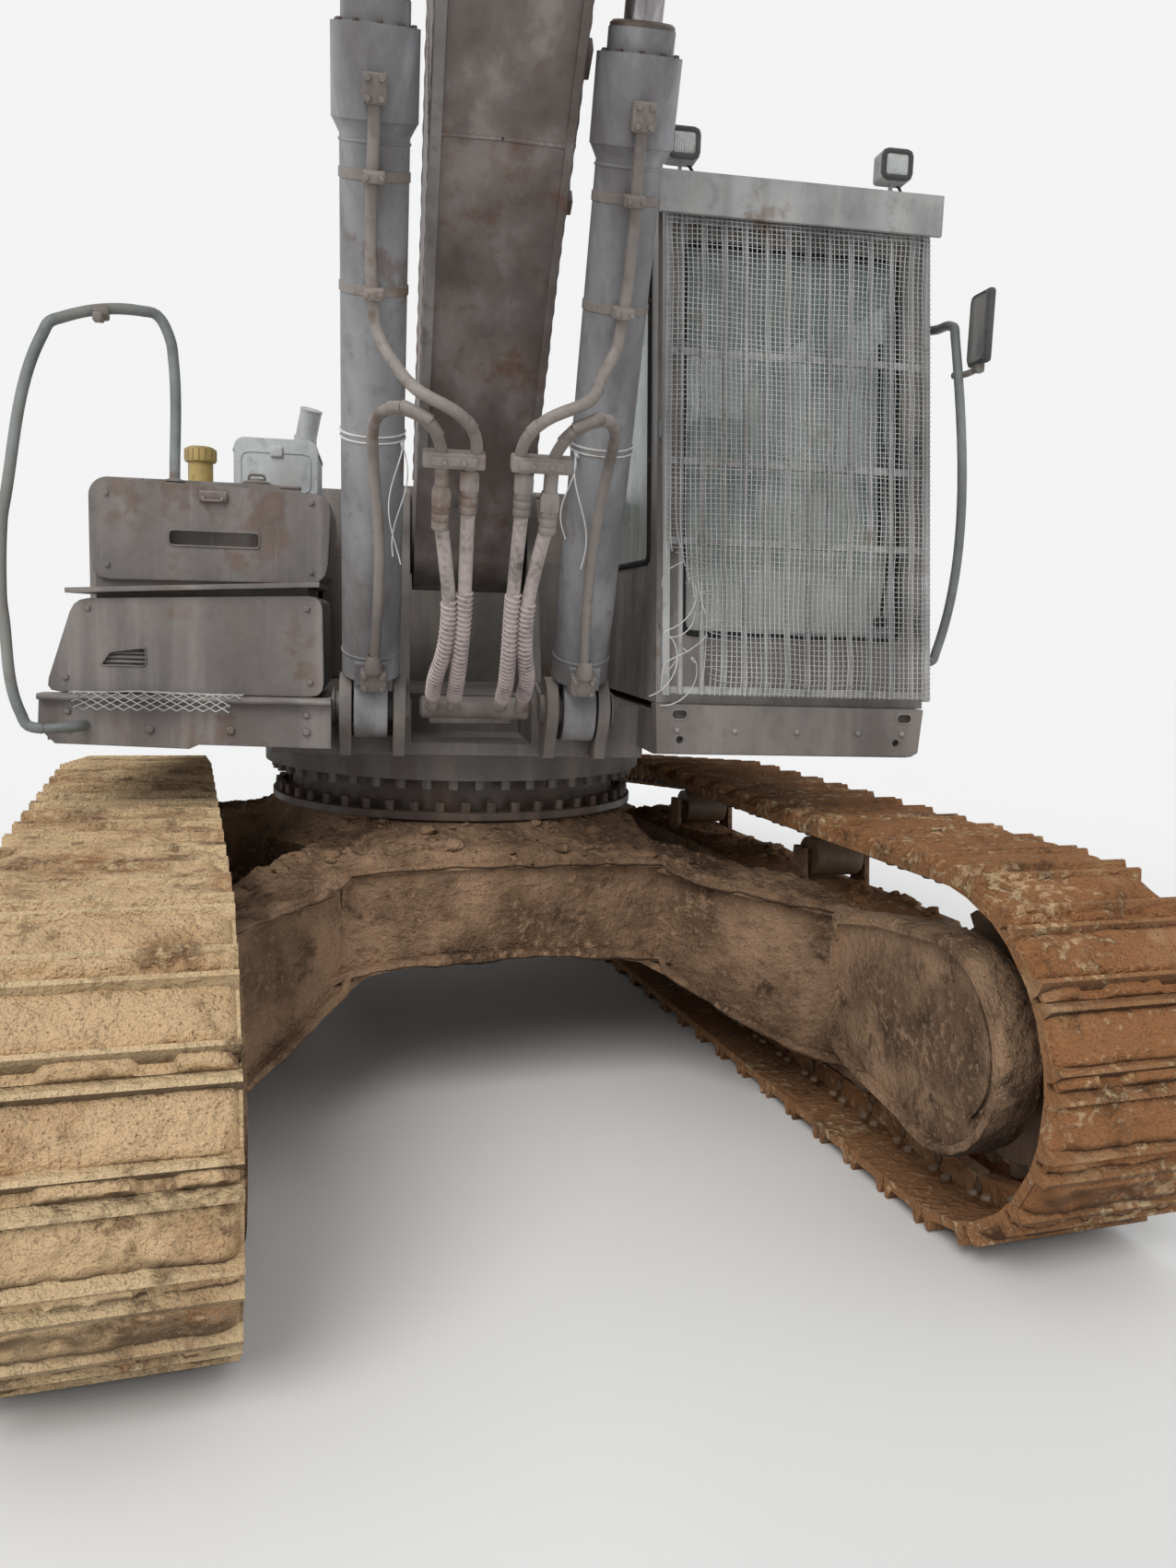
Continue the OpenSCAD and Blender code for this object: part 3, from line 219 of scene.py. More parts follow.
def bend(points, count):
    """A smooth line of count stations through some points:
    cubic pieces whose slopes come from the neighbours."""
    points = np.asarray(points, float)
    t = lengths(points)
    slope = np.gradient(points, t, axis=0)
    s = np.linspace(0, t[-1], count)
    i = np.clip(np.searchsorted(t, s) - 1, 0, len(t) - 2)
    w = (t[i + 1] - t[i])[:, None]
    u = (s - t[i])[:, None] / w
    return ((1 + 2 * u) * (1 - u) ** 2 * points[i] + u * (1 - u) ** 2 * w * slope[i] + u * u
        * (3 - 2 * u) * points[i + 1] - u * u * (1 - u) * w * slope[i + 1])


def eased(points, d):
    """A route whose corners are cut back by d and rounded, as the built pipes are."""
    points = np.asarray(points, float)
    back = points[1:-1] + d * unit(points[:-2] - points[1:-1])
    on = points[1:-1] + d * unit(points[2:] - points[1:-1])
    corner = np.stack([back, (back + 2 * points[1:-1] + on) / 4, on], 1).reshape(-1, 3)
    return np.concatenate([points[:1], corner, points[-1:]])


def stations(path, count):
    """The same line, of points or of pairs, at evenly spaced stations."""
    path = np.asarray(path, float)
    t = lengths(path)
    s = np.linspace(0, t[-1], count)
    return np.stack([np.interp(s, t, column) for column in path.T], -1)


def coil(path, radius, wire, pitch, sides=5):
    """A wire wound round a path: the station's circle turns once for each pitch along it."""
    path = stations(path, max(24, int(lengths(path)[-1] / pitch * 9)))
    t = lengths(path)
    ahead = unit(np.gradient(path, axis=0))
    side = unit(np.cross(ahead, np.eye(3)[np.abs(ahead).max(0).argmin()]))
    up = np.cross(side, ahead)
    turn = (2 * np.pi * t / pitch)[:, None]
    return bars(path + radius * (np.cos(turn) * side + np.sin(turn) * up), wire, sides, lead=ahead)


def hexagon(size, height):
    """A bolt head: six flats with a chamfered top, its foot at the origin and its axis along z."""
    return turned([[0, 0], [size, 0], [size, height * 0.75], [size * 0.82, height], [0, height]], 6)


# Placing: machine metres from the frames that the solids are built in


def tilted(deg, at):
    """The 3 x 3 matrix and place of a frame tilted by deg about the sideways axis."""
    c, s = np.cos(np.radians(deg)), np.sin(np.radians(deg))
    return np.array([[1, 0, 0], [0, c, -s], [0, s, c]]), np.asarray(at, float)


def put(shape, where):
    """The shape carried from a frame into the machine's."""
    turn, at = where
    return shape[0] @ turn.T + at, shape[1]


def square_to(direction, up=(0, 0, 1)):
    """The matrix whose third axis points in a direction."""
    z = unit(np.asarray(direction, float))
    x = unit(np.cross(up, z)) if abs(np.dot(up, z)) < 0.99 else np.array([1.0, 0, 0])
    return np.stack([x, np.cross(z, x), z], -1)


hands, ends = [(1, "left"), (-1, "right")], [(1, "front"), (-1, "rear")]


def metres(*values):
    """Lengths of the source, in millimetres, as metres."""
    return np.asarray(values, float) / 1000


# Named sizes, as in the source
gauge, half, track_r, shoes = 2.6, 2.025, 0.53, 52
turn_deg, track_lead, run_drop, axle_z = 8.6, 0.14, 0.15, 0.566
cab_x, cab_w, cab_y, cab_z, cab_h, cab_lean = 0.6, 0.96, -1.23, 1.525, 1.73, 9.0
cab_out, cab_top, cab_back = cab_x + cab_w, cab_z + cab_h, 0.57
deck_z, house_z, boom_w, arm_w, boom_l, arm_l = 1.495, 2.435, 0.405, 0.34, 6.4, 4.0
foot, base_pin = metres(450, 2100), metres(1060, 1484)
boom_deg = np.degrees(np.arcsin((1.615 + arm_l * np.cos(np.radians(7.7)) - foot[1]) / boom_l))
arm_deg, bucket_deg = 7.7 - 90, -90.0


def on_arm(p, deg, q):
    """A point q of a member that stands at p and points up by
    deg; pairs are distance forward and height."""
    c, s = np.cos(np.radians(deg)), np.sin(np.radians(deg))
    return np.array([p[0] + q[0] * c - q[1] * s, p[1] + q[0] * s + q[1] * c])


def member(p, deg):
    """Frame of a member: its own forward is minus y."""
    return tilted(-deg, (0, -p[0], p[1]))


def strut(p, q):
    """Frame of a cylinder from p to q, its length along z."""
    return tilted(90 - np.degrees(np.arctan2(q[1] - p[1], q[0] - p[0])), (0, -p[0], p[1]))


lift_at = on_arm(foot, boom_deg, metres(2825, 1027))
boom_tip = on_arm(foot, boom_deg, (boom_l, 0))
arm_barrel_pin, curl_barrel_pin, rocker_pin = metres(3350, 1600), metres(1000, 590), metres(3520, 20)
arm_base_at = on_arm(foot, boom_deg, arm_barrel_pin)
arm_pin_at = on_arm(boom_tip, arm_deg, metres(-874, 371))
bucket_at = on_arm(boom_tip, arm_deg, (arm_l, 0))
boom_frame, arm_frame, bucket_frame = member(foot, boom_deg), member(boom_tip,
    arm_deg), member(bucket_at, bucket_deg)
lift_frame, crowd_frame = strut(base_pin, lift_at), strut(arm_base_at, arm_pin_at)
cab_frame = tilted(-cab_lean, (0, cab_y, cab_z))
turn_c, turn_s = np.cos(np.radians(turn_deg)), np.sin(np.radians(turn_deg))
under_frame = (np.array([[turn_c, -turn_s, 0], [turn_s, turn_c, 0], [0, 0, 1]]),
    np.array([turn_s * track_lead, -turn_c * track_lead, 0]))


# Finishes


def rgb(r, g, b, tone=1.0):
    """A screen colour from 0 to 255 as light, made darker or paler by tone."""
    v = np.clip(np.array([r, g, b]) * tone / 255, 0, 1)
    return tuple(np.where(v <= 0.04045, v / 12.92, ((v + 0.055) / 1.055) ** 2.4)) + (1.0,)


class Field:
    """A socket of a finish. A sum, difference, product or power of it adds its Math node."""

    def __init__(self, finish, socket):
        self.finish, self.socket = finish, socket

    def sum(self, operation, a, b):
        return self.finish.node("Math", {"operation": operation}, {0: a, 1: b})

    def __add__(self, other):
        return self.sum("ADD", self, other)

    def __radd__(self, other):
        return self.sum("ADD", other, self)

    def __sub__(self, other):
        return self.sum("SUBTRACT", self, other)

    def __rsub__(self, other):
        return self.sum("SUBTRACT", other, self)

    def __mul__(self, other):
        return self.sum("MULTIPLY", self, other)

    def __rmul__(self, other):
        return self.sum("MULTIPLY", other, self)

    def __pow__(self, other):
        return self.sum("POWER", self, other)


class Finish:
    """A material whose colour, roughness and relief come from
    patterns on the object's own coordinates."""

    def __init__(self, name, metallic=0.0, **plain):
        self.material = bpy.data.materials.new(name)
        self.material.use_nodes = True
        self.tree = self.material.node_tree
        self.shader = self.tree.nodes["Principled BSDF"].inputs
        self.shader["Metallic"].default_value = metallic
        for key, value in plain.items():
            self.shader[key.replace("_", " ")].default_value = value
        self.place = self.node("TexCoord", {}, {}, "Object")
        facing = self.node("TexCoord", {}, {}, "Normal")
        self.up = self.node("SeparateXYZ", {}, {0: facing}, 2)

    def node(self, kind, settings, inputs, out=0):
        """Any node: its type, its settings, then the values or links of its sockets."""
        made = self.tree.nodes.new("ShaderNode" + kind)
        for key, value in settings.items():
            setattr(made, key, value)
        for key, value in inputs.items():
            self.join(made.inputs[key], value)
        return Field(self, made.outputs[out])

    def join(self, socket, value):
        if isinstance(value, Field):
            self.tree.links.new(value.socket, socket)
        else:
            socket.default_value = value

    def noise(self, scale, detail=3.0, stretch=(1, 1, 1), shift=0.0):
        where = self.node("Mapping", {},
            {"Vector": self.place, "Scale": stretch, "Location": (shift, shift, shift)})
        return self.node("TexNoise", {},
            {"Vector": where, "Scale": scale, "Detail": detail, "Roughness": 0.56})

    def cells(self, scale, feature="F1", stretch=(1, 1, 1)):
        where = self.node("Mapping", {}, {"Vector": self.place, "Scale": stretch})
        return self.node("TexVoronoi", {"feature": feature}, {"Vector": where, "Scale": scale})

    def step(self, value, low, high):
        """0 below low, 1 above high, smooth between."""
        return self.node("MapRange", {"interpolation_type": "SMOOTHSTEP"}, {0: value, 1: low, 2: high})

    def mix(self, share, a, b):
        return self.node("Mix", {"data_type": "RGBA"}, {0: share, 6: a, 7: b}, 2)

    def edges(self, width):
        """1 along the edges of a solid, from how far its bevelled normal leans from its own."""
        soft = self.node("Bevel", {"samples": 3}, {"Radius": width})
        own = self.node("NewGeometry", {}, {}, "Normal")
        lean = self.node("VectorMath", {"operation": "DOT_PRODUCT"}, {0: soft, 1: own}, "Value")
        return soft, self.step(1 - lean, 0.02, 0.22)

    def relief(self, height, depth, soft=None):
        inputs = {"Strength": 1.0, "Distance": depth, "Height": height}
        if soft is not None:
            inputs["Normal"] = soft
        self.join(self.shader["Normal"], self.node("Bump", {}, inputs))

    def done(self, colour, rough):
        self.join(self.shader["Base Color"], colour)
        self.join(self.shader["Roughness"], rough)
        return self.material


def worn_steel(name, coat, dust, rust=(104, 66, 44), rusting=0.35, dusty=0.5, bare=(150, 142, 134),
        wear=0.5, width=0.007, rough=0.6, metallic=0.0, dents=0.5, runs=0.5, grain=(1, 1, 1)):
    """Old painted steel: paint of uneven tone, rust in patches and along edges, runs down upright
    faces, a film of dust that is thickest on what faces up, scratches, grit and shallow dents."""
    f = Finish(name, metallic)
    broad, blotch, grit = f.noise(0.8, 4), f.noise(4.2, 6), f.noise(70, 3)
    fine = f.noise(19, 5, shift=3.1)
    drip = f.noise(6.5, 5, stretch=(1, 1, 0.09), shift=1.7)
    scratch = f.noise(5, 4, stretch=(1 + 7 * grain[0], 1 + 7 * grain[1], 0.6 * grain[2]), shift=5.3)
    soft, edge = f.edges(width)
    colour = f.mix(f.step(broad * 0.6 + blotch * 0.4, 0.38, 0.62), rgb(*coat, 0.84), rgb(*coat, 1.12))
    colour = f.mix(f.step(fine, 0.5, 0.72) * 0.45, colour, rgb(*coat, 0.66))
    spots = f.step(blotch * 0.55 + broad * 0.2 + fine * 0.25, 0.62 - 0.22 * rusting, 0.70 - 0.2 * rusting)
    colour = f.mix(spots * min(1.0, 0.45 + rusting), colour,
        f.mix(fine, rgb(*rust, 0.7), rgb(*rust, 1.2)))
    side = 1 - f.step(f.up, 0.3, 0.8)
    colour = f.mix(f.step(drip, 0.5, 0.68) * side * runs * 0.8, colour, rgb(*dust, 1.06))
    colour = f.mix(f.step(drip, 0.52, 0.36) * side * runs * 0.55, colour, rgb(*rust, 0.62))
    film = f.step(f.up * 0.55 + blotch * 0.9 + broad * 0.3, 0.72, 1.3)
    colour = f.mix(film * dusty + (fine * 0.35 * dusty), colour,
        f.mix(grit, rgb(*dust, 0.9), rgb(*dust, 1.1)))
    colour = f.mix(f.step(scratch, 0.64, 0.7) * 0.35 * wear, colour, rgb(*bare))
    colour = f.mix(edge * f.step(fine * 0.6 + blotch * 0.4, 0.36, 0.56) * wear, colour, rgb(*bare, 0.95))
    f.relief(grit * 0.25 + blotch * (1.1 * dents) + fine * 0.35 - f.step(scratch, 0.64, 0.7)
        * 0.12, 0.004, soft)
    return f.done(colour, f.step(film * 0.5 + fine * 0.5, 0.0, 1.0) * 0.25 + (rough - 0.12))


def caked_clay(name, pale, middle, deep, depth=0.012, across_x=0.0, stones=0.4):
    """Clay that has dried in place: pale crust, damp hollows, grit, crumbs and fine
    cracks, with painted shade on the faces that point down; across_x shifts it
    from the pale side of the machine to the damp one."""
    f = Finish(name, Specular_IOR_Level=0.25)
    broad, clods, crumb, grit = f.noise(1.1, 5), f.noise(7, 6, shift=2.2), f.noise(34, 5), f.noise(150, 3)
    crack = f.cells(16, "DISTANCE_TO_EDGE")
    side = f.step(f.node("SeparateXYZ", {}, {0: f.place}, 0), -1.1, 1.2) * across_x
    patch, pebble = f.noise(3.1, 6, shift=7.7), f.cells(58, "F1")
    damp = f.step(broad * 0.35 + patch * 0.65 + side * 0.24 - 0.08 * across_x, 0.40, 0.60)
    colour = f.mix(damp, rgb(*pale), rgb(*middle))
    colour = f.mix(f.step(clods * 0.45 + patch * 0.2 + crumb * 0.35, 0.50, 0.62) * 0.85,
        colour, rgb(*deep))
    colour = f.mix(f.step(crumb * 0.6 + patch * 0.4, 0.52, 0.66) * 0.7, colour, rgb(*pale, 1.1))
    # painted shade: faces that point down are darkened towards half the deep colour
    colour = f.mix(f.step(f.up, -0.1, -0.7) * 0.75, colour, rgb(*deep, 0.5))
    colour = f.mix(f.step(grit, 0.56, 0.7) * stones, colour, rgb(*middle, 0.5))
    colour = f.mix(f.step(pebble, 0.22, 0.12) * f.step(patch, 0.5, 0.6) * stones, colour,
        rgb(176, 172, 164))
    f.relief(clods * 1.4 + crumb * 1.3 + grit * 0.4 + f.step(crack, 0.0, 0.03) * 0.04 * damp, depth)
    return f.done(colour, 0.86 + crumb * 0.12)


def polished_rod(name, tone, dust):
    """Chromed rod gone dull: lengthwise scores, dirt bands and a film of dust."""
    f = Finish(name, 0.85)
    score = f.noise(40, 4, stretch=(1, 1, 0.05))
    band = f.noise(5, 4, stretch=(0.3, 0.3, 1))
    blot = f.noise(12, 5)
    film = f.step(band * 0.6 + blot * 0.4, 0.44, 0.64)
    colour = f.mix(f.step(score, 0.4, 0.7), rgb(*tone, 0.85), rgb(*tone, 1.12))
    colour = f.mix(film * 0.75, colour, rgb(*dust))
    f.join(f.shader["Metallic"], 0.85 - film * 0.6)
    f.relief(score * 0.5 + blot * 0.3, 0.0012)
    return f.done(colour, 0.28 + film * 0.4)


def dusty_rubber(name, tone, dust, cover=0.5, rough=0.75, weave=0.0):
    """Hose rubber or seal: dark, scuffed, under pale dust that
    clings unevenly, with an optional wrapped texture."""
    f = Finish(name, Specular_IOR_Level=0.35)
    cling, fine, grit = f.noise(9, 5), f.noise(60, 4), f.noise(240, 2)
    colour = f.mix(fine, rgb(*tone, 0.8), rgb(*tone, 1.25))
    colour = f.mix(f.step(cling * 0.6 + fine * 0.4 + f.up * 0.1, 0.72 - 0.5 * cover, 0.86 - 0.3 * cover),
        colour, rgb(*dust))
    wrap = f.cells(95, stretch=(1, 1, 2.2)) * weave
    f.relief(fine * 0.5 + grit * 0.3 + wrap, 0.0018)
    return f.done(colour, rough + cling * 0.15)


def tinted_glass(name, tint, dust, clear=0.3):
    """Laminated cab glass: tinted, smeared, dusty towards the bottom and the corners."""
    f = Finish(name, Specular_IOR_Level=0.6)
    smear = f.noise(3.2, 5, stretch=(1, 1, 0.5))
    speck = f.noise(85, 3)
    rain = f.noise(26, 4, stretch=(1, 1, 0.14), shift=4.0)
    height = f.node("SeparateXYZ", {}, {0: f.place}, 2)
    film = f.step(smear * 0.7 + rain * 0.35 + f.step(height, 2.6, 1.7) * 0.25, 0.42, 0.85)
    colour = f.mix(film, rgb(*tint), rgb(*dust))
    f.join(f.shader["Alpha"], film * 0.55 + f.step(speck, 0.62, 0.75) * 0.25 + (1 - clear) * 0.55)
    f.relief(smear * 0.3 + speck * 0.1, 0.0006)
    return f.done(colour, film * 0.45 + 0.06)


def vinyl(name, tone, dust, grain=210.0):
    """Seat vinyl: fine pebbled grain, creases, worn sheen and dust."""
    f = Finish(name, Sheen_Weight=0.15, Specular_IOR_Level=0.4)
    pebble = f.cells(grain)
    crease, worn = f.noise(22, 5, stretch=(1, 0.4, 1)), f.noise(3.5, 4)
    colour = f.mix(f.step(worn, 0.4, 0.65), rgb(*tone), rgb(*tone, 1.5))
    colour = f.mix(f.step(worn * 0.4 + crease * 0.4 + f.up * 0.3, 0.5, 0.95) * 0.55, colour, rgb(*dust))
    f.relief(pebble * 0.5 + crease * 0.6, 0.0015)
    return f.done(colour, 0.5 + crease * 0.25)


def lamp_lens(name):
    """Ribbed pressed glass, cloudy with dust."""
    f = Finish(name, Specular_IOR_Level=0.8, Coat_Weight=0.4)
    rib = f.node("TexWave", {"wave_type": "BANDS"}, {"Vector": f.place, "Scale": 38.0, "Distortion": 0.3})
    film = f.noise(16, 5)
    colour = f.mix(f.step(film, 0.4, 0.65), rgb(196, 200, 198), rgb(150, 140, 124))
    f.relief(rib + film * 0.3, 0.002)
    return f.done(colour, 0.12 + film * 0.4)


clay_frame = caked_clay("frame clay", (186, 152, 122), (122, 95, 73), (52, 37, 26), 0.032)
clay_track = caked_clay("track clay", (228, 200, 158), (166, 120, 82), (84, 56, 38), 0.026, across_x=1.0)
clay_shoe = caked_clay("shoe clay", (232, 198, 154), (172, 120, 78), (96, 62, 38), 0.032,
    across_x=1.0, stones=0.6)
clay_steel = worn_steel("clayed steel", (98, 80, 64), (150, 124, 98), (90, 62, 42), 0.5, 0.95,
    (144, 122, 98), 0.3)
greasy = worn_steel("greasy steel", (84, 72, 66), (134, 114, 98), (92, 64, 48), 0.5, 0.6,
    (120, 112, 104), 0.35, rough=0.45)
dusty_paint = worn_steel("dusty paint", (112, 107, 104), (146, 137, 129), rusting=0.25,
    dusty=0.7, dents=0.9)
dusty_iron = worn_steel("dusty iron", (112, 105, 101), (142, 132, 124), rusting=0.3, dusty=0.6, dents=0.8)
engine_iron = worn_steel("engine iron", (62, 60, 58), (104, 96, 88), rusting=0.4, dusty=0.5, rough=0.5)
yellow_cap = worn_steel("yellow cap", (176, 152, 92), (142, 132, 108), (104, 70, 44), 0.25, 0.55,
    (180, 170, 150), 0.5)
pale_plastic = worn_steel("pale plastic", (184, 190, 192), (170, 164, 156), (120, 100, 80), 0.12, 0.5,
    (196, 196, 190), 0.25, dents=0.4)
rusty_panel = worn_steel("rusty panel", (108, 102, 100), (156, 150, 146), (92, 70, 58), 0.5, 0.8,
    (156, 148, 142), 0.6, dents=1.2)
grey_tube = worn_steel("grey tube", (122, 130, 130), (138, 130, 120), (104, 74, 54), 0.3, 0.3,
    (168, 170, 168), 0.5, width=0.003)
rusty_pipe = worn_steel("exhaust", (186, 190, 194), (172, 164, 154), (126, 88, 60), 0.42, 0.35,
    (190, 188, 184), 0.5, rough=0.5)
cab_paint = worn_steel("cab paint", (140, 136, 133), (178, 166, 157), rusting=0.25, dusty=0.65,
    dents=0.7, rough=0.5)
guard_steel = worn_steel("guard steel", (166, 166, 166), (186, 184, 180), (122, 92, 70), 0.3, 0.5,
    (190, 190, 188), 0.6, width=0.004)
boom_paint = worn_steel("boom paint", (124, 114, 110), (150, 143, 140), (108, 76, 58), 0.5, 0.55,
    (150, 144, 140), 0.45, runs=0.8, dents=0.8)
barrel_paint = worn_steel("barrel paint", (132, 132, 134), (158, 158, 162), (104, 80, 66), 0.28, 0.65,
    (158, 156, 154), 0.45, runs=0.8, dents=0.3)
bucket_steel = worn_steel("bucket steel", (112, 88, 70), (150, 124, 96), (120, 74, 46), 0.6, 0.5,
    (168, 160, 150), 0.9, rough=0.45, metallic=0.35, dents=1.4, width=0.012)
pipe_steel = worn_steel("pipe steel", (128, 120, 115), (150, 143, 138), (104, 76, 58), 0.35, 0.55,
    (160, 154, 148), 0.4, width=0.002, dents=0.2)
pale_steel = worn_steel("scuffed strip", (152, 149, 146), (140, 134, 128), (112, 78, 56), 0.3, 0.3,
    (186, 184, 180), 0.6, width=0.003, rough=0.45, metallic=0.3)
wire_steel = worn_steel("mesh wire", (206, 208, 208), (196, 190, 182), (158, 122, 96), 0.3, 0.35,
    (220, 220, 216), 0.3, width=0.001, dents=0.1, rough=0.5)
rod_chrome = polished_rod("rod chrome", (168, 163, 164), (148, 138, 130))
hose_rubber = dusty_rubber("hose rubber", (104, 98, 96), (186, 175, 171), 0.98)
spiral_guard = dusty_rubber("spiral guard", (112, 104, 103), (196, 182, 180), 0.98, 0.65)
seal_rubber = dusty_rubber("seal rubber", (40, 40, 40), (104, 98, 90), 0.35)
mat_rubber = dusty_rubber("floor mat", (46, 45, 44), (120, 106, 90), 0.6)
cab_glass_finish = tinted_glass("cab glass", (168, 188, 182), (198, 198, 192))
seat_black = vinyl("seat vinyl", (42, 41, 42), (116, 108, 98))
trim_plastic = vinyl("cab trim", (66, 66, 66), (120, 112, 102), 320.0)
lens_glass = lamp_lens("lamp lens")

slot_finish = {"clay_frame": clay_frame, "clay_track": clay_track, "clay_steel": clay_steel,
    "greasy_steel": greasy, "dusty_paint": dusty_paint, "dusty_iron": dusty_iron,
    "engine_iron": engine_iron, "yellow_cap": yellow_cap, "pale_plastic": pale_plastic,
    "rusty_panel": rusty_panel, "grey_tube": grey_tube, "rusty_pipe": rusty_pipe,
    "cab_paint": cab_paint, "cab_glass": cab_glass_finish, "seat_black": seat_black,
    "guard_steel": guard_steel, "boom_paint": boom_paint, "barrel_paint": barrel_paint,
    "rod_chrome": rod_chrome, "bucket_steel": bucket_steel}
joined = 2e-5  # points nearer than this are one
for part in frame["record"]["subparts"]:
    solid = frame["nodes"][part["node"]]
    for place in solid.material_slots:
        place.material = slot_finish[part["material_slot"]]
    solid.data.shade_smooth()
    weld = solid.modifiers.new("weld", "WELD")
    weld.merge_threshold = joined
    split = solid.modifiers.new("crease", "EDGE_SPLIT")
    split.split_angle = np.radians(30)


def welded(name, shape, outwards=True):
    """A mesh of the shape: points that coincide are joined, and
    its faces are turned outwards if asked."""
    mesh = bpy.data.meshes.new(name)
    mesh.from_pydata(shape[0].tolist(), [], shape[1].tolist())
    bm = bmesh.new()
    bm.from_mesh(mesh)
    bmesh.ops.remove_doubles(bm, verts=bm.verts, dist=joined)
    if outwards:
        bmesh.ops.recalc_face_normals(bm, faces=bm.faces)
    bm.to_mesh(mesh)
    bm.free()
    return mesh


def piece(name, shapes, finish, body, smooth=42, replaces=(), where=None):
    """The shapes, carried from their frame if they stand in one, as
    one welded piece with its finish and the body it rides on."""
    shape = merge(shapes)
    mesh = welded(name, shape if where is None else put(shape, where))
    mesh.materials.append(finish)
    mesh.shade_smooth()
    mesh.set_sharp_from_angle(angle=np.radians(smooth))
    made = bpy.data.objects.new(name, mesh)
    bpy.context.scene.collection.objects.link(made)
    if replaces:
        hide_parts(*replaces)
    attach(made, body)
    return made


# Undercarriage: the track's path, as in the source


def arc(centre, r, start, end, n):
    a = np.radians(np.linspace(start, end, n + 1))
    return np.stack([centre[0] + r * np.cos(a), centre[1] + r * np.sin(a)], -1)


link_r = track_r - 0.04
idler_drop = run_drop / 2
run_deg = 2 * np.degrees(np.arctan2(idler_drop, half - 0.42))
pitch_line = np.concatenate([[[-half, -link_r], [half, -link_r]],
    arc((half, -idler_drop), link_r - run_drop / 2, -86, 90 - run_deg, 40),
    [[0.42, link_r]], arc((-half, 0), link_r, 90, 270, 44)])
along_line = lengths(pitch_line)
pitch = along_line[-1] / shoes


def on_path(s):
    s = np.mod(s, along_line[-1])
    return np.stack([np.interp(s, along_line, pitch_line[:, i]) for i in (0, 1)], -1)


def shoe_frames():
    """Each shoe's middle, its direction along the track and outwards, as pairs of distance and height."""
    a, b = on_path(np.arange(shoes) * pitch), on_path((np.arange(shoes) + 1) * pitch)
    ahead = unit(b - a)
    out = np.stack([ahead[:, 1], -ahead[:, 0]], -1)
    return (a + b) / 2 + 0.04 * out, ahead, out, np.linalg.norm(b - a, axis=-1)


def track_place(points, side):
    """Points of distance across, along and up of a track, in
    the machine's frame; side is 1 by the cab, else -1."""
    p = np.stack([gauge / 2 + points[..., 0], points[..., 1], axle_z + points[..., 2]], -1) * [side, 1, 1]
    return p @ under_frame[0].T + under_frame[1]


def shoe_clay(side):
    """Clay pads on the shoes: between a shoe's two grousers, and thinner ones in the gap
    between two shoes. A pad is a height field over its width and length: full in the middle,
    rolled off at its edges, eaten away by unevenness, with its foot sunk in the plate."""
    mid, ahead, out, size = shoe_frames()
    across_x = np.linspace(-0.292, 0.292, 37)
    shapes = []
    for k, (start, end, full) in enumerate([(-0.34, 0.34, 0.030), (0.40, 0.60, 0.024)]):
        share = np.linspace(start, end, 11 if k == 0 else 5)
        u = np.linspace(-1, 1, len(share))
        x, v = np.meshgrid(across_x, share, indexing="ij")
        here = mid[:, None, None] + (v * size[:, None, None])[..., None] * ahead[:, None, None]
        x = np.broadcast_to(x, here.shape[:3])
        seed = 3 + 10 * k + (side > 0)
        where = np.stack([x, here[..., 0], here[..., 1]], -1)
        rough = lumps(where, 0.09, seed, 3)
        patch = lumps(where, 0.42, seed + 5, 2)
        crumbs = lumps(where, 0.034, seed + 9, 2)
        edge = (1 - np.abs(across_x[:, None] / 0.292) ** 14) * (1 - np.abs(u) ** 6 * 0.6)
        notch = 1 - 0.95 * k * (np.abs(np.abs(across_x[:, None]) - 0.13) < 0.035)
        height = (full * (1 + 0.42 * patch) + 0.010 * rough + 0.006 * crumbs) * edge * notch
        height = np.clip(height, -0.006, 0.0345 if k == 0 else 0.032)
        top = np.stack([x, *np.moveaxis(here + height[..., None] * out[:, None, None], -1, 0)], -1)
        below = np.stack([x, *np.moveaxis(here - 0.012 * out[:, None, None], -1, 0)], -1)
        shapes += [crust(a, b) for a, b in zip(track_place(top, side), track_place(below, side))]
    return shapes


def clods(centres, sizes, seed, rings=6, sides=9):
    """Loose lumps of clay: balls whose radius follows the
    unevenness in each direction, flattened below."""
    ball = turned(np.stack([np.sin(np.linspace(0, np.pi, rings)),
        -np.cos(np.linspace(0, np.pi, rings))], -1), sides)
    centres, sizes = np.asarray(centres, float), np.asarray(sizes, float)
    points = np.broadcast_to(ball[0], (len(centres),) + ball[0].shape)
    grow = 1 + 0.38 * lumps(points * 0.9 + centres[:, None] * 9, 0.8, seed, 2)
    points = points * grow[..., None] * sizes[:, None, None] * [1.15, 1.0, 0.7] + centres[:, None]
    quads = ball[1][None] + (np.arange(len(centres)) * len(ball[0]))[:, None, None]
    return points.reshape(-1, 3), quads.reshape(-1, 4)


seeded = np.random.default_rng(5)


def on_top(heap, count, above):
    """Places picked at random among the points of a heap that lie above the middle of its height."""
    points = heap[0]
    high = points[points[:, 2] > np.median(points[:, 2]) + above]
    return high[seeded.integers(0, len(high), count)]


lip_x = [0, 0.4, 0.577, 0.60, 0.66, 0.737, 0.832, 0.971, 1.13]
lip_top = [0.94, 0.934, 0.921, 0.896, 0.879, 0.860, 0.851, 0.838, 0.822]
lip_low = [0.58, 0.562, 0.536, 0.481, 0.448, 0.40, 0.34, 0.28, 0.25]


def lip_out(x):
    """How far in front of the frame's middle the lip of the beam and of its turned legs stands."""
    return 0.89 + 0.9325 * np.clip(np.abs(x) - 0.577, 0, None)


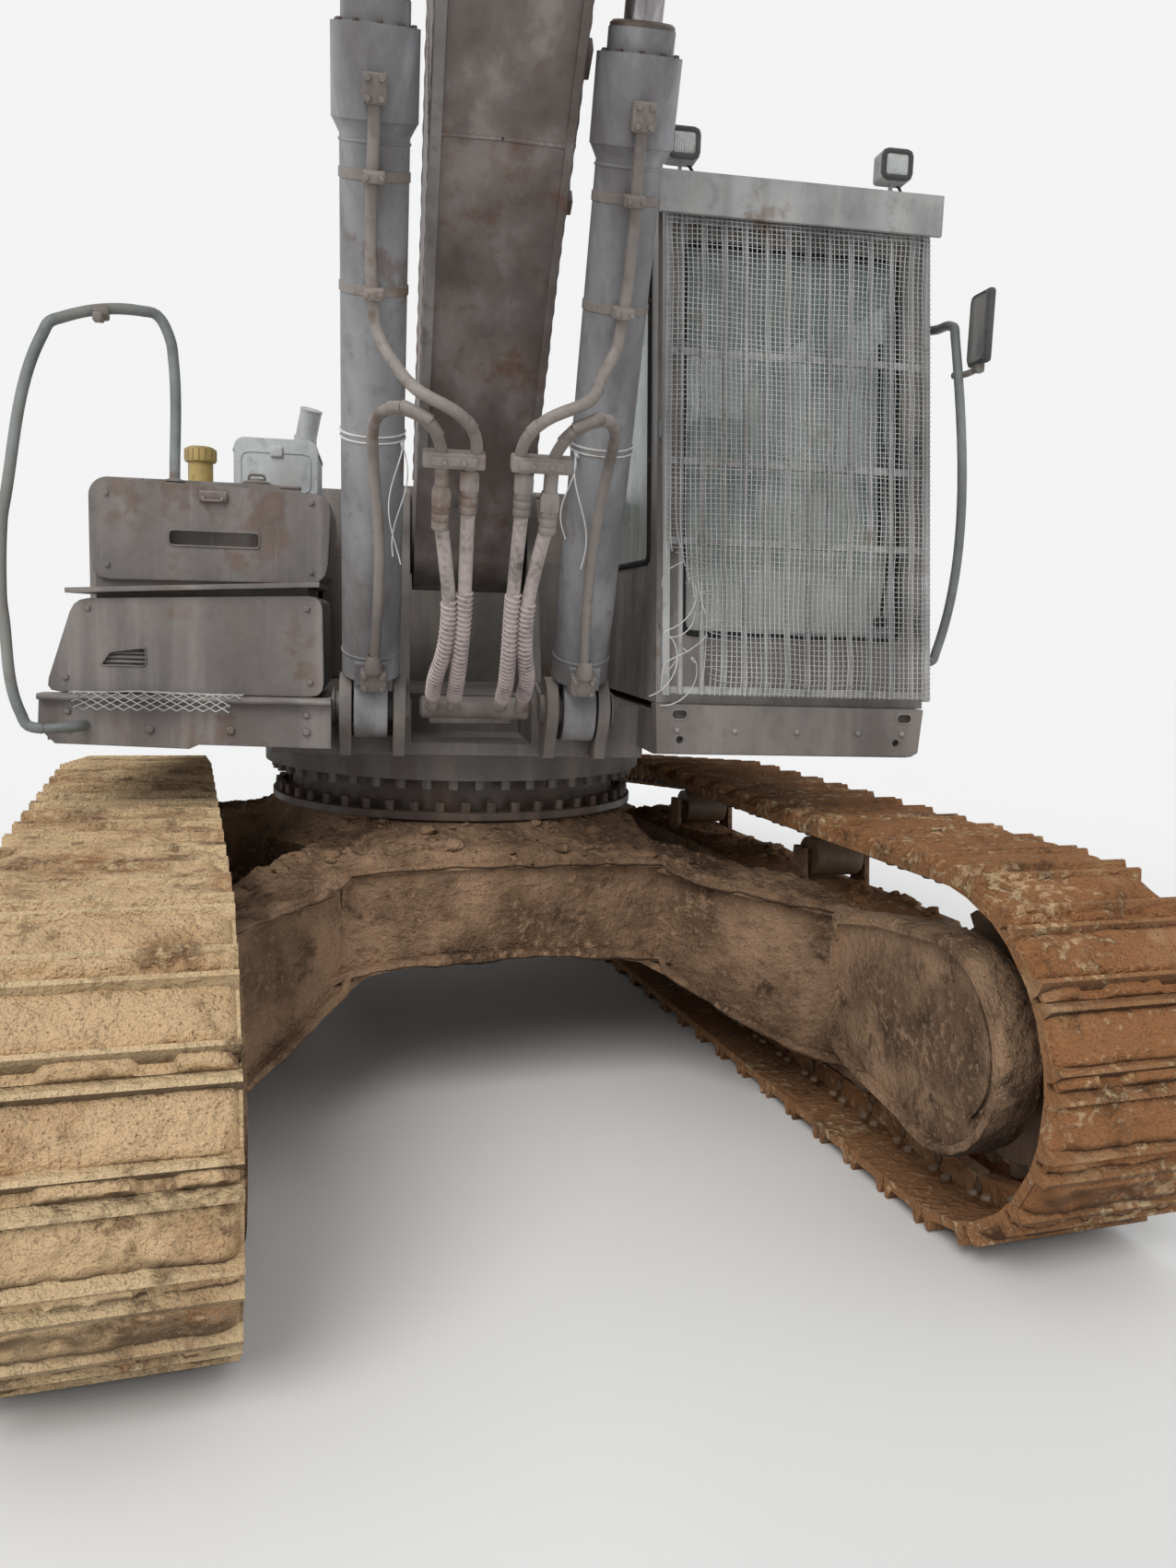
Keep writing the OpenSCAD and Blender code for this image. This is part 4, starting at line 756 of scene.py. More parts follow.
def beam_clay(end):
    """Clay on an arched beam and its legs: a sheet whose rows run from the lip of
    the top flange back to the disc under the slew ring; its height is a rolled edge,
    a slope that climbs towards the disc, and heaps of coarse and fine unevenness."""
    x = np.linspace(-1.12, 1.12, 190)
    v = np.linspace(0, 1, 40)
    X, V = np.meshgrid(x, v, indexing="ij")
    out = lip_out(X) + 0.003 - V * np.interp(np.abs(X), [0, 0.35, 0.6, 0.72, 1.12],
        [0.42, 0.48, 0.62, 0.44, 0.44])
    along = (np.abs(X) - 0.658) * 0.7314 + (out - 0.685) * 0.682
    on_leg = (np.abs(X) > 0.66) | (out > 0.893)
    flat = np.where(on_leg, np.interp(along, [0, 0.3, 0.84], [0.913, 0.860, 0.810]),
        np.interp(np.abs(X), [0, 0.4, 0.66], [0.94, 0.934, 0.918]))
    away = np.hypot(X, -end * out - track_lead) - 0.7
    where = np.stack([X, out, flat], -1)
    coarse, fine = lumps(where, 0.30, 11 + end, 3), lumps(where, 0.06, 17 + end, 3)
    slope = np.exp(-np.clip(away, 0, None) / 0.13)
    height = 0.020 + 0.10 * slope + 0.032 * coarse * (0.45
        + V) + 0.015 * fine + 0.008 * lumps(where, 0.028, 19, 2)
    height *= 1 - 0.45 * np.clip((np.abs(X) - 0.7) / 0.4, 0, 1)
    rolled = np.sqrt(np.clip(V / 0.05, 0, 1)) * np.where(away > 0.02,
        np.sqrt(np.clip((1 - V) / 0.08, 0, 1)), 1)
    height = np.minimum((height + 0.015) * rolled - 0.015, 1.026 - flat)
    top = np.stack([X, -end * out, flat + height], -1)
    low = np.stack([X, -end * (out - 0.012 * (1 - V)), flat - 0.03], -1)
    return put(crust(top, low), under_frame)


def beam_face_clay(end):
    """Clay stuck on the arched beam's upright face: patches as thick as the unevenness
    above a threshold; where there is none the sheet dips behind the plate."""
    x = np.linspace(-0.60, 0.60, 110)
    v = np.linspace(0, 1, 26)
    X, V = np.meshgrid(x, v, indexing="ij")
    low = np.interp(np.abs(X), [0, 0.2, 0.4, 0.56, 0.66], [0.58, 0.577, 0.562, 0.538, 0.514]) + 0.03
    high = np.interp(np.abs(X), [0, 0.4, 0.66], [0.94, 0.934, 0.918]) - 0.027
    Z = low + (high - low) * V
    where = np.stack([X, 0 * X, Z * 0.6], -1)
    amount = lumps(where, 0.30, 23 + end, 3) * 0.5 + (V - 0.42) * 0.75
    bulge = np.clip(amount, -0.4, 1) * 0.034 + 0.006 * lumps(where, 0.05, 29, 2) * (amount > 0)
    bulge = np.clip(bulge, -0.02, 0.036)
    top = np.stack([X, -(0.85 + bulge) * end, Z], -1)
    low = np.stack([X, -(0.82 + 0 * X) * end, Z], -1)
    return put(crust(top, low), under_frame)


def lip_clay(end):
    """Rough beads of clay along the lips of both flanges: round bars whose radius and height wander."""
    x = np.linspace(-1.11, 1.11, 230)
    shapes = []
    for table, drop, r, seed in [(lip_top, -0.013, 0.0135, 31), (lip_low, 0.012, 0.0145, 37)]:
        path = np.stack([x, -(lip_out(x) - 0.003) * end, np.interp(np.abs(x), lip_x, table) + drop], -1)
        rough = lumps(path, 0.07, seed + end, 3)
        path = path + np.stack([0 * x, 0.004 * rough * end, 0.006 * lumps(path, 0.12, seed, 2)], -1)
        shapes.append(put(bars(path, np.clip(r * (1 + 0.55 * rough), 0.004, 0.024), 9,
            lead=(0, 0, 1)), under_frame))
    return merge(shapes)


def ring_heap():
    """The heap round the disc under the slew ring: rows run from a wandering foot on the
    frame up to the ring's underside and back down inside, round the whole circle."""
    a, v = np.linspace(0, 2 * np.pi, 180, endpoint=False), np.linspace(0, 1, 12)
    V, A = np.meshgrid(v, a, indexing="ij")
    wheel = np.stack([np.cos(A), np.sin(A), V], -1)
    spread = 0.09 + 0.075 * lumps(wheel * [1, 1, 0], 0.5, 41, 3)
    r = 0.69 + np.clip(spread, 0.02, 0.2) * (1 - V) ** 1.6
    z = 0.90 + 0.13 * V + 0.012 * lumps(wheel * 0.7, 0.12, 43, 3) * np.sin(np.pi * V)
    outer = np.stack([r * np.cos(A), r * np.sin(A), z], -1)
    inner = np.stack([0.66 * np.cos(A), 0.66 * np.sin(A), z], -1)
    return skin(np.concatenate([outer, inner[::-1], outer[:1]]), True)


def tube_frame_clay(side):
    """Clay lying on the track frame under the top run: a long
    heap with a wandering ridge and slumped sides."""
    y, v = np.linspace(-1.43, 1.09, 90), np.linspace(-1, 1, 15)
    Y, V = np.meshgrid(y, v, indexing="ij")
    where = np.stack([V * 0.2, Y, 0 * V], -1)
    ends = np.clip((1.26 - np.abs(Y + 0.17)) / 0.2, 0.05, 1)
    height = (0.045 + 0.03 * lumps(where, 0.3, 47, 3)) * (1
        - np.abs(V) ** 2.6) * ends + 0.005 * lumps(where, 0.06, 53, 2)
    x = V * (0.163 + 0.004 * lumps(where, 0.1, 59, 2))
    top = np.stack([x, Y,
        0.79 - axle_z + np.where(np.abs(V) > 0.98, -0.01, np.maximum(height, -0.004))], -1)
    low = np.stack([x * 0.97, Y, 0.775 - axle_z + 0 * V], -1)
    return crust(track_place(top, side), track_place(low, side))


def guard_clay(side):
    """A crust of clay on the rim of the drive motor's guard:
    rows across the rim, carried round its outline."""
    path = np.concatenate([[[half - 0.60, 0.262], [half - 0.33, 0.315]],
        arc((half, 0.02), 0.325, 95, -115, 30), [[half - 0.42, -0.235], [half - 0.60, -0.18]]])
    path = stations(path, 90)
    ahead = unit(np.gradient(path, axis=0))
    out = np.stack([-ahead[:, 1], ahead[:, 0]], -1)
    v = np.linspace(0, 1, 9)
    x = 0.9835 + (1.127 - 0.9835) * v - gauge / 2
    where = np.stack(np.broadcast_arrays(path[:, None, 0], path[:, None, 1], x[None]), -1)
    bulge = 0.006 + 0.008 * lumps(where, 0.11, 61, 3)
    bulge = np.clip(bulge, 0.0012,
        0.018) * (1 - np.abs(2 * v - 1) ** 8)[None] - 0.004 * (np.abs(2 * v - 1) > 0.99)
    def rows(d):
        p = path[:, None] + d[..., None] * out[:, None]
        return np.stack([np.broadcast_to(x, d.shape), -p[..., 0], p[..., 1]], -1)
    return crust(track_place(rows(bulge), side), track_place(rows(0 * bulge - 0.012), side))


for side, name in hands:
    piece(name + "_shoe_clay", shoe_clay(side), clay_shoe, "undercarriage", 60)
    piece(name + "_frame_heap", [tube_frame_clay(side)], clay_track, "undercarriage", 60)
    piece(name + "_guard_crust", [guard_clay(side)], clay_frame, "undercarriage", 60)
for end, name in ends:
    piece(name + "_beam_heap", [beam_clay(end)], clay_frame, "undercarriage", 60)
    piece(name + "_beam_crust", [beam_face_clay(end), lip_clay(end)], clay_frame, "undercarriage",
        60)
piece("ring_heap", [ring_heap()], clay_frame, "undercarriage", 60)

spots = np.concatenate([on_top(beam_clay(end), 240, -0.01) for end in (1, -1)])
piece("beam_clods", [clods(spots, 0.008 + 0.026 * seeded.uniform(0, 1, len(spots)) ** 2.5, 71)],
    clay_frame, "undercarriage", 60)
for side, name in hands:
    spots = on_top(tube_frame_clay(side), 160, 0.01)
    piece(name + "_frame_clods",
        [clods(spots, 0.007 + 0.022 * seeded.uniform(0, 1, len(spots)) ** 2, 73)],
        clay_track, "undercarriage", 60)


def track_pins(side):
    """The pin ends of the chain, a pair for each link: turned
    studs on both outer faces of the link rails."""
    a, b = on_path(np.arange(shoes) * pitch), on_path(np.arange(shoes) * pitch + 0.02)
    ahead = unit(b - a)
    at = a - 0.026 * np.stack([ahead[:, 1], -ahead[:, 0]], -1)
    stud = turned([[0, 0], [0.019, 0], [0.019, 0.007], [0.012, 0.010], [0, 0.010]], 10, axis=(1, 0, 0))
    shapes = []
    for x in (0.095, -0.095):
        facing = under_frame[0] @ np.diag([np.sign(x * side), np.sign(x * side), 1.0])
        shapes.append(copies(stud, track_place(np.column_stack([np.full(shoes, x), at]), side), facing))
    return shapes


def shoe_bolts(side):
    """Four bolt heads on the inner face of every shoe, beside the chain."""
    mid, ahead, out, size = shoe_frames()
    z = np.column_stack([np.zeros(shoes), -out])
    x = np.broadcast_to([1.0, 0, 0], z.shape)
    flip = np.diag([side, 1.0, 1.0])
    frames = under_frame[0] @ flip @ np.stack([x, np.cross(z, x), z], -1) @ flip
    shapes = []
    for off, share in [(-0.165, -0.16), (-0.165, 0.16), (0.165, -0.16), (0.165, 0.16)]:
        at = mid + (share * size)[:, None] * ahead - 0.066 * out
        where = track_place(np.column_stack([np.full(shoes, off), at]), side)
        shapes.append(copies(hexagon(0.017, 0.014), where, frames))
    return shapes


for side, name in hands:
    piece(name + "_chain_pins", track_pins(side), clay_steel, "undercarriage")
    piece(name + "_shoe_bolts", shoe_bolts(side), clay_steel, "undercarriage")


# Boom cylinders: pipes, hoses, glands and the wire tied round them, in the frame of the pair of barrels
hose_y, barrel_x, barrel_r = -0.33, 0.352, 0.095
pipe_y = -barrel_r - 0.045


def bolts_on(points, size, height, direction):
    """Bolt heads at some points, all facing one way."""
    return copies(hexagon(size, height), points, square_to(direction, (0, 0.02, 1)))


def block(middle, size, r=0.006):
    middle, size = np.asarray(middle, float), np.asarray(size, float)
    return cushion(middle - size / 2, middle + size / 2, r)


head_pipe = [[barrel_x, pipe_y, 1.82], [0.350, pipe_y, 1.235], [0.300, -0.195, 1.168],
    [0.238, -0.428, 1.138], [0.112, -0.420, 1.084], [0.064, -0.385, 1.020], [0.062, hose_y, 0.950]]
foot_pipe = [[0.344, pipe_y, 0.150], [0.326, pipe_y, 0.600], [barrel_x, -0.155, 0.900],
    [barrel_x, -0.235, 1.012], [0.312, -0.345, 1.072], [0.262, -0.404, 1.088],
    [0.205, -0.414, 1.064], [0.168, -0.380, 1.010], [0.158, hose_y, 0.950]]
hose_routes = [[[0.156, hose_y, 0.762], [0.140, -0.306, 0.660], [0.116, -0.284, 0.475],
    [0.122, -0.262, 0.330], [0.150, -0.200, 0.200], [0.150, -0.110, 0.095], [0.150, -0.010, 0.0]],
    [[0.078, hose_y, 0.812], [0.076, -0.306, 0.672], [0.073, -0.284, 0.477], [0.076, -0.262, 0.320],
    [0.080, -0.200, 0.185], [0.080, -0.110, 0.085], [0.080, -0.010, 0.0]]]
hose_tops = [[0.156, 0.862], [0.078, 0.912]]


def pipework():
    """The hard pipes, their flange blocks with four bolts each,
    the clamps and the bracket with its nuts."""
    shapes = [bars(bend(eased(p, d), 120), 0.017, 16) for p, d in [(head_pipe, 0.06), (foot_pipe, 0.07)]]
    for x, y, z, w, d, h in [(barrel_x, -0.1433, 1.825, 0.064, 0.052, 0.074),
            (0.344, -0.1313, 0.155, 0.084, 0.048, 0.070)]:
        shapes.append(block((x, y, z), (w, d, h)))
        corners = [[x + i * (w / 2 - 0.014), y - d / 2, z + j * (h / 2 - 0.014)] for i in (-1, 1)
            for j in (-1, 1)]
        shapes.append(bolts_on(corners, 0.0095, 0.010, (0, -1, 0)))
    shapes.append(turned([[0.017, 0], [0.030, 0], [0.032, 0.012], [0.024, 0.05], [0.017, 0.06],
        [0.017, 0]], 16, (0, 0, 1), (0.344, pipe_y, 0.186)))
    for z in (1.33, 1.62):
        shapes.append(block((barrel_x, -0.1263, z), (0.06, 0.062, 0.034)))
        shapes.append(block((barrel_x, -0.166, z), (0.052, 0.018, 0.028), 0.004))
        shapes.append(bolts_on([[barrel_x - 0.02, -0.175, z], [barrel_x + 0.02, -0.175, z]], 0.008,
            0.008, (0, -1, 0)))
        shapes.append(turned([[0.0955, z - 0.014], [0.0985, z - 0.012], [0.0985, z + 0.012],
            [0.0955, z + 0.014]], 36, (0, 0, 1), (barrel_x, 0, 0)))
    shapes.append(block((0.124, hose_y - 0.008, 0.9385), (0.176, 0.052, 0.047), 0.008))
    shapes.append(block((0.125, hose_y - 0.032, 0.9385), (0.13, 0.018, 0.027), 0.004))
    shapes.append(bolts_on([[0.098, hose_y - 0.04, 0.9385], [0.152, hose_y - 0.04, 0.9385]], 0.009,
        0.009, (0, -1, 0)))
    for x, z in hose_tops:
        shapes.append(rod(0.021, z - 0.062, 0.93, 18, at=(x, hose_y, 0)))
        nut = hexagon(0.031, 0.056)
        shapes.append((nut[0] + [x, hose_y, z - 0.060], nut[1]))
        ring = np.array([[0, -0.130], [0.024, -0.130], [0.0265, -0.126], [0.0265, -0.108],
            [0.0245, -0.105], [0.0265, -0.102], [0.0265, -0.084], [0.0245, -0.081],
            [0.0265, -0.078], [0.0265, -0.060], [0, -0.058]])
        shapes.append(turned(ring + [0, z], 18, at=(x, hose_y, 0)))
    shapes = [across(merge(shapes))]
    shapes.append(turned([[0, -0.188], [0.030, -0.188], [0.038, -0.180], [0.038, 0.180], [0.030, 0.188],
        [0, 0.188]], 24, (1, 0, 0)))
    return shapes


piece("boom_pipework", pipework(), pipe_steel, "lift_barrels", replaces=["boom_pipes"],
    where=lift_frame)
for side, hand in hands:
    for k, route in enumerate(hose_routes):
        line = stations(bend(eased(np.array(route) * [side, 1, 1], 0.06), 90), 90)
        path = line @ lift_frame[0].T + lift_frame[1]
        hose = piece(f"{hand}_hose_{k + 1}", [bars(path, 0.021, 16)], hose_rubber, "lift_barrels")
        cover = piece(f"{hand}_hose_cover_{k + 1}", [coil(path[28:76], 0.0235, 0.0042, 0.017)],
            spiral_guard, "lift_barrels")
        length = float(np.linalg.norm(np.diff(path, axis=0), axis=1).sum())


def glands(length, r, bore, x=0.0, low=0.0):
    """The gland at a barrel's mouth: a turned collar round the
    rod, and a ring of bolts on the head's shoulder."""
    end = np.array([0, length])
    collar = turned([[bore, -0.03], [bore, 0.016], [r - 0.008, 0.016], [r, 0.009], [r, -0.01],
        [bore, -0.03]] + end, 40, at=(x, 0, 0))
    a = np.arange(10) * np.pi / 5 + 0.2
    ring = np.column_stack([x + (r + 0.013) * np.cos(a), (r + 0.013) * np.sin(a), 0 * a + low])
    return [collar, copies(hexagon(0.0085, 0.008), ring)]


boom_glands = across(merge(glands(2.03, 0.0885, 0.0535, barrel_x, 1.97)))
piece("boom_glands", [boom_glands], greasy, "lift_barrels", where=lift_frame)
seam_rings = [turned([[0.094, z - 0.006], [0.0985, z - 0.002], [0.0985, z + 0.002], [0.094, z + 0.006]],
    40, at=(barrel_x, 0, 0)) for z in (0.21, 1.70)]
piece("boom_barrel_welds", [across(merge(seam_rings))], barrel_paint, "lift_barrels",
    where=lift_frame)


def tied_wire():
    """Wire tied round each barrel: a few uneven turns and a twisted knot in front."""
    turns = np.linspace(0, 2 * np.pi * 4, 150)
    wander = 0.006 * np.sin(turns * 0.37 + 1)
    shapes = []
    for x in (barrel_x, -barrel_x):
        line = np.column_stack([x + 0.0975 * np.cos(turns), 0.0975 * np.sin(turns),
            0.90 + turns * 0.0012 + wander])
        shapes.append(bars(line, 0.0022, 5, lead=(0, 0, 1)))
        twist = np.linspace(0, 1, 30)
        for start in (0, np.pi):
            knot = np.column_stack([x - np.sign(x) * 0.088 + 0.004 * np.cos(twist * 22 + start),
                -0.048 - twist * 0.05, 0.905 + 0.004 * np.sin(twist * 22 + start)])
            shapes.append(bars(knot, 0.0018, 5, lead=(0, 1, 0)))
    return shapes


piece("barrel_tie_wire", tied_wire(), wire_steel, "lift_barrels", where=lift_frame)
for name, start, sway in [("right_wire_1", (-0.263, -0.060, 0.90), 0.3),
        ("right_wire_2", (-0.262, -0.085, 0.905), 2.1), ("left_wire_1", (0.263, -0.060, 0.90), 1.2),
        ("left_wire_2", (0.261, -0.085, 0.905), 4.0)]:
    at = np.array(start) @ lift_frame[0].T + lift_frame[1]
    drop = np.linspace(0, 1, 40)
    size = 0.30 + 0.05 * np.cos(sway * 3)
    line = at + np.column_stack([0.022 * np.sin(drop * 5 + sway) - 0.022 * np.sin(sway),
        -0.020 * np.sin(drop * 4) - 0.01 * drop, -size * drop])
    wire = piece("loose_" + name, [bars(line, 0.0021, 6)], wire_steel, "lift_barrels")
    float(np.linalg.norm(np.diff(line, axis=0), axis=1).sum())


# Boom, arm and bucket: welds, edge strips, pipes, pin caps
boom_low = metres([-60, -205], [500, -85], [1174, 130], [1974, 300], [2500, 420], [2900, 500],
    [3250, 545], [3600, 545], [4300, 440], [5400, 110], [5880, -46])
boom_top = metres([60, 215], [900, 560], [1700, 930], [2600, 1325], [3000, 1425], [3400, 1425],
    [3750, 1330], [4300, 1120], [5300, 690], [5840, 420])


def on_member(line, x, out=0.0):
    """Pairs of distance and height as points of a member's frame, pushed square to the line by out."""
    line = np.asarray(line, float)
    ahead = unit(np.gradient(line, axis=0))
    line = line + out * np.stack([-ahead[:, 1], ahead[:, 0]], -1)
    return np.column_stack([np.full(len(line), x), -line[:, 0], line[:, 1]])


def height_at(line, s):
    """The height of an outline of pairs at the distance s."""
    return np.interp(s, line[:, 0], line[:, 1])


def bead(line, r=0.006, seed=1, count=260):
    """A weld bead: a thin bar whose radius swells and shrinks as the runs overlap."""
    path = stations(line, count)
    ripple = 1 + 0.22 * np.sin(np.linspace(0, count * 1.3, count)) + 0.2 * lumps(path, 0.05, seed, 2)
    return bars(path, r * ripple, 6, lead=(1, 0, 0))


def cap(at, x, r, bolts=3):
    """A pin's end cover: a turned disc with bolts, facing outwards along x."""
    d = np.sign(x)
    disc = turned([[0, 0], [r, 0], [r, 0.008], [r - 0.005, 0.012], [r * 0.45, 0.012], [r * 0.4, 0.016],
        [0, 0.016]], 28, (d, 0, 0), (x, -at[0], at[1]))
    a = np.arange(bolts) * 2 * np.pi / bolts + 0.6
    heads = np.column_stack([np.full(bolts, x + d * 0.011), -at[0] + 0.7 * r * np.cos(a),
        at[1] + 0.7 * r * np.sin(a)])
    return merge([disc, copies(hexagon(0.011, 0.010), heads, square_to((d, 0, 0)))])


def caps(rows):
    return [cap(at, d * x, r) for at, x, r in rows for d in (-1, 1)]


boom_seams = []
for x in (-boom_w / 2 + 0.002, boom_w / 2 - 0.002):
    boom_seams += [bead(on_member(boom_low[1:], x, 0.001), 0.006, 5, 420),
        bead(on_member(boom_top, x, -0.001), 0.006, 6, 420)]
for s in (1.55, 3.05, 4.6):
    z = height_at(boom_low, s) - 0.001
    boom_seams.append(bead(np.array([[-0.2, -s, z], [0.0, -s - 0.004, z], [0.2, -s, z]]), 0.0065, 7, 70))
    for x in (-boom_w / 2 - 0.001, boom_w / 2 + 0.001):
        top = height_at(boom_top, s)
        boom_seams.append(bead(np.array([[x, -s, z], [x, -s - 0.05, top]]), 0.005, 8, 90))
piece("boom_welds", boom_seams, boom_paint, "boom_arm", where=boom_frame)


def flat_bar(line, w, t, r=0.002):
    """A flat bar carried along a line: w sideways and t thick, with eased corners."""
    a, b = w / 2, t / 2
    outline = np.array([[-b, -a + r], [-b + r, -a], [b - r, -a], [b, -a + r], [b, a - r], [b - r, a],
        [-b + r, a], [-b, a - r]])
    return carried(line, outline, lead=(1, 0, 0))


under = stations(boom_low[1:7], 60)
piece("boom_edge_strip", [flat_bar(on_member(under, -boom_w / 2 + 0.016, -0.004), 0.034, 0.010)],
    pale_steel, "boom_arm", where=boom_frame)
piece("boom_edge_bar", [flat_bar(on_member(under, boom_w / 2 - 0.012, -0.004), 0.026, 0.010)],
    boom_paint, "boom_arm", where=boom_frame)
tabs = [block((boom_w / 2 + 0.010, -s, height_at(boom_low, s) + 0.05), (0.022, w, 0.05), 0.004)
    for s, w in [(1.36, 0.05), (1.75, 0.09), (2.2, 0.06)]]
piece("boom_brackets", tabs, boom_paint, "boom_arm", where=boom_frame)


def boom_lines():
    """Steel pipes along the boom's back to the arm cylinder and on to the arm, held by clamps."""
    shapes = []
    for x in (-0.13, -0.085, 0.085, 0.13):
        end = 10 if abs(x) > 0.1 else 5
        line = stations(boom_top[:end], 80)
        shapes.append(bars(on_member(line, x, 0.030), 0.0165, 12, lead=(1, 0, 0)))
    for s in (0.45, 1.2, 2.0, 2.7, 4.1, 5.0, 5.7):
        top = height_at(boom_top, s)
        for x in (-0.108, 0.108):
            shapes.append(block((x, -s, top + 0.028), (0.105, 0.045, 0.062), 0.006))
            shapes.append(bolts_on([[x, -s, top + 0.058]], 0.011, 0.010, (0, 0, 1)))
    return shapes


piece("boom_lines", boom_lines(), pipe_steel, "boom_arm", where=boom_frame)
piece("boom_pin_caps",
    caps([((0, 0), 0.2785, 0.070), ((boom_l, 0), 0.228, 0.075), (arm_barrel_pin, 0.1205, 0.052)]),
    dusty_iron, "boom_arm", where=boom_frame)
piece("tower_pin_caps", [cap(base_pin, d * 0.4705, 0.062) for d in (-1, 1)], dusty_iron,
    "upper")
piece("lift_rod_caps", [cap(lift_at, d * 0.4195, 0.058) for d in (-1, 1)], dusty_iron,
    "lift_rods")

arm_low = metres([-60, -190], [400, -215], [3700, -109.5])
arm_top = metres([-600, 470], [300, 470], [1000, 400], [2900, 210], [3400, 160])
arm_seams = []
for x in (-arm_w / 2 + 0.002, arm_w / 2 - 0.002):
    arm_seams += [bead(on_member(arm_low, x, 0.001), 0.006, 9, 300),
        bead(on_member(arm_top, x, -0.001), 0.006, 10, 300)]
piece("arm_welds", arm_seams, boom_paint, "dipper", where=arm_frame)
arm_lines = [bars(on_member(stations(arm_top[1:4], 40), x, 0.028), 0.015, 12, lead=(1, 0, 0))
    for x in (-0.135, 0.135)]
arm_lines += [block((x, -s, height_at(arm_top, s) + 0.024), (0.05, 0.045, 0.055), 0.006)
    for x in (-0.135, 0.135) for s in (0.5, 1.3, 2.1, 2.85)]
piece("arm_lines", arm_lines, pipe_steel, "dipper", where=arm_frame)
piece("arm_pin_caps",
    caps([((arm_l, 0), 0.2455, 0.058), (rocker_pin, 0.2155, 0.052), (curl_barrel_pin, 0.1055, 0.045)]),
    dusty_iron, "dipper", where=arm_frame)
piece("arm_gland", glands(2.33, 0.09, 0.0555), greasy, "crowd_barrel", where=crowd_frame)

lip, half_w = metres(1400, -10), 0.725
tooth_x = -half_w + 0.055 + np.arange(5) * (1.45 - 0.11) / 4
adapters = []
tooth_widths = [(-0.056, 0.0), (-0.056, 0.9), (-0.048, 1.0), (0.048, 1.0), (0.056, 0.9), (0.056, 0.0)]
for x in tooth_x:
    side_rows = np.array([[-0.085, 0.065], [-0.02, 0.082], [0.06, 0.074], [0.11, 0.046], [0.125, 0.0],
        [0.11, -0.04], [0.06, -0.062], [-0.02, -0.064], [-0.085, -0.056]]) + lip
    rings = [np.column_stack([np.full(len(side_rows), x + w),
        -(side_rows[:, 0] - lip[0]) * k - lip[0], (side_rows[:, 1] - lip[1]) * k + lip[1]])
        for w, k in tooth_widths]
    adapters.append(skin(np.stack(rings), True))
    adapters.append(rod(0.016, -0.062, 0.062, 14, (1, 0, 0), (x, -lip[0] - 0.075, lip[1] + 0.01)))
piece("tooth_adapters", adapters, bucket_steel, "scoop", where=bucket_frame)
cutters = []
for x in (-half_w - 0.001, half_w + 0.001):
    d = np.sign(x)
    for s, z in [(1.18, 0.0), (1.02, -0.03)]:
        cutters.append(block((x - d * 0.018, -s, z), (0.05, 0.13, 0.10), 0.012))
    rail = np.array([[0.62, -0.075], [1.0, -0.045], [1.34, -0.012]])
    cutters.append(flat_bar(on_member(stations(rail, 30), x - d * 0.02, 0.004), 0.050, 0.022))
piece("side_cutters", cutters, bucket_steel, "scoop", where=bucket_frame)
belly_at, belly_r = (0.70, 0.23), 0.6165
belly = arc(belly_at, belly_r, 8, 150, 60)
wear = [carried(on_member(belly, x),
    np.array([[-0.0045, -0.04], [0.0045, -0.036], [0.0045, 0.036], [-0.0045, 0.04]]), lead=(1, 0, 0))
    for x in (-0.52, -0.26, 0.0, 0.26, 0.52)]
wear += [bead(on_member(arc(belly_at, belly_r, -2, 178, 80), d * (half_w - 0.04)), 0.0038, 12, 240)
    for d in (-1, 1)]
piece("bucket_wear_bars", wear, bucket_steel, "scoop", where=bucket_frame)
ear_l, ear_deg = 0.48, np.radians(100)
ear_pin = ear_l * np.array([np.cos(ear_deg), np.sin(ear_deg)])
piece("bucket_pin_caps", caps([(ear_pin, 0.2405, 0.048)]), dusty_iron, "scoop",
    where=bucket_frame)


# Cab: guard mesh, wires, seals, wiper, lamps, roof, door and seat. Points of cab_frame stand on its leaning
# front.


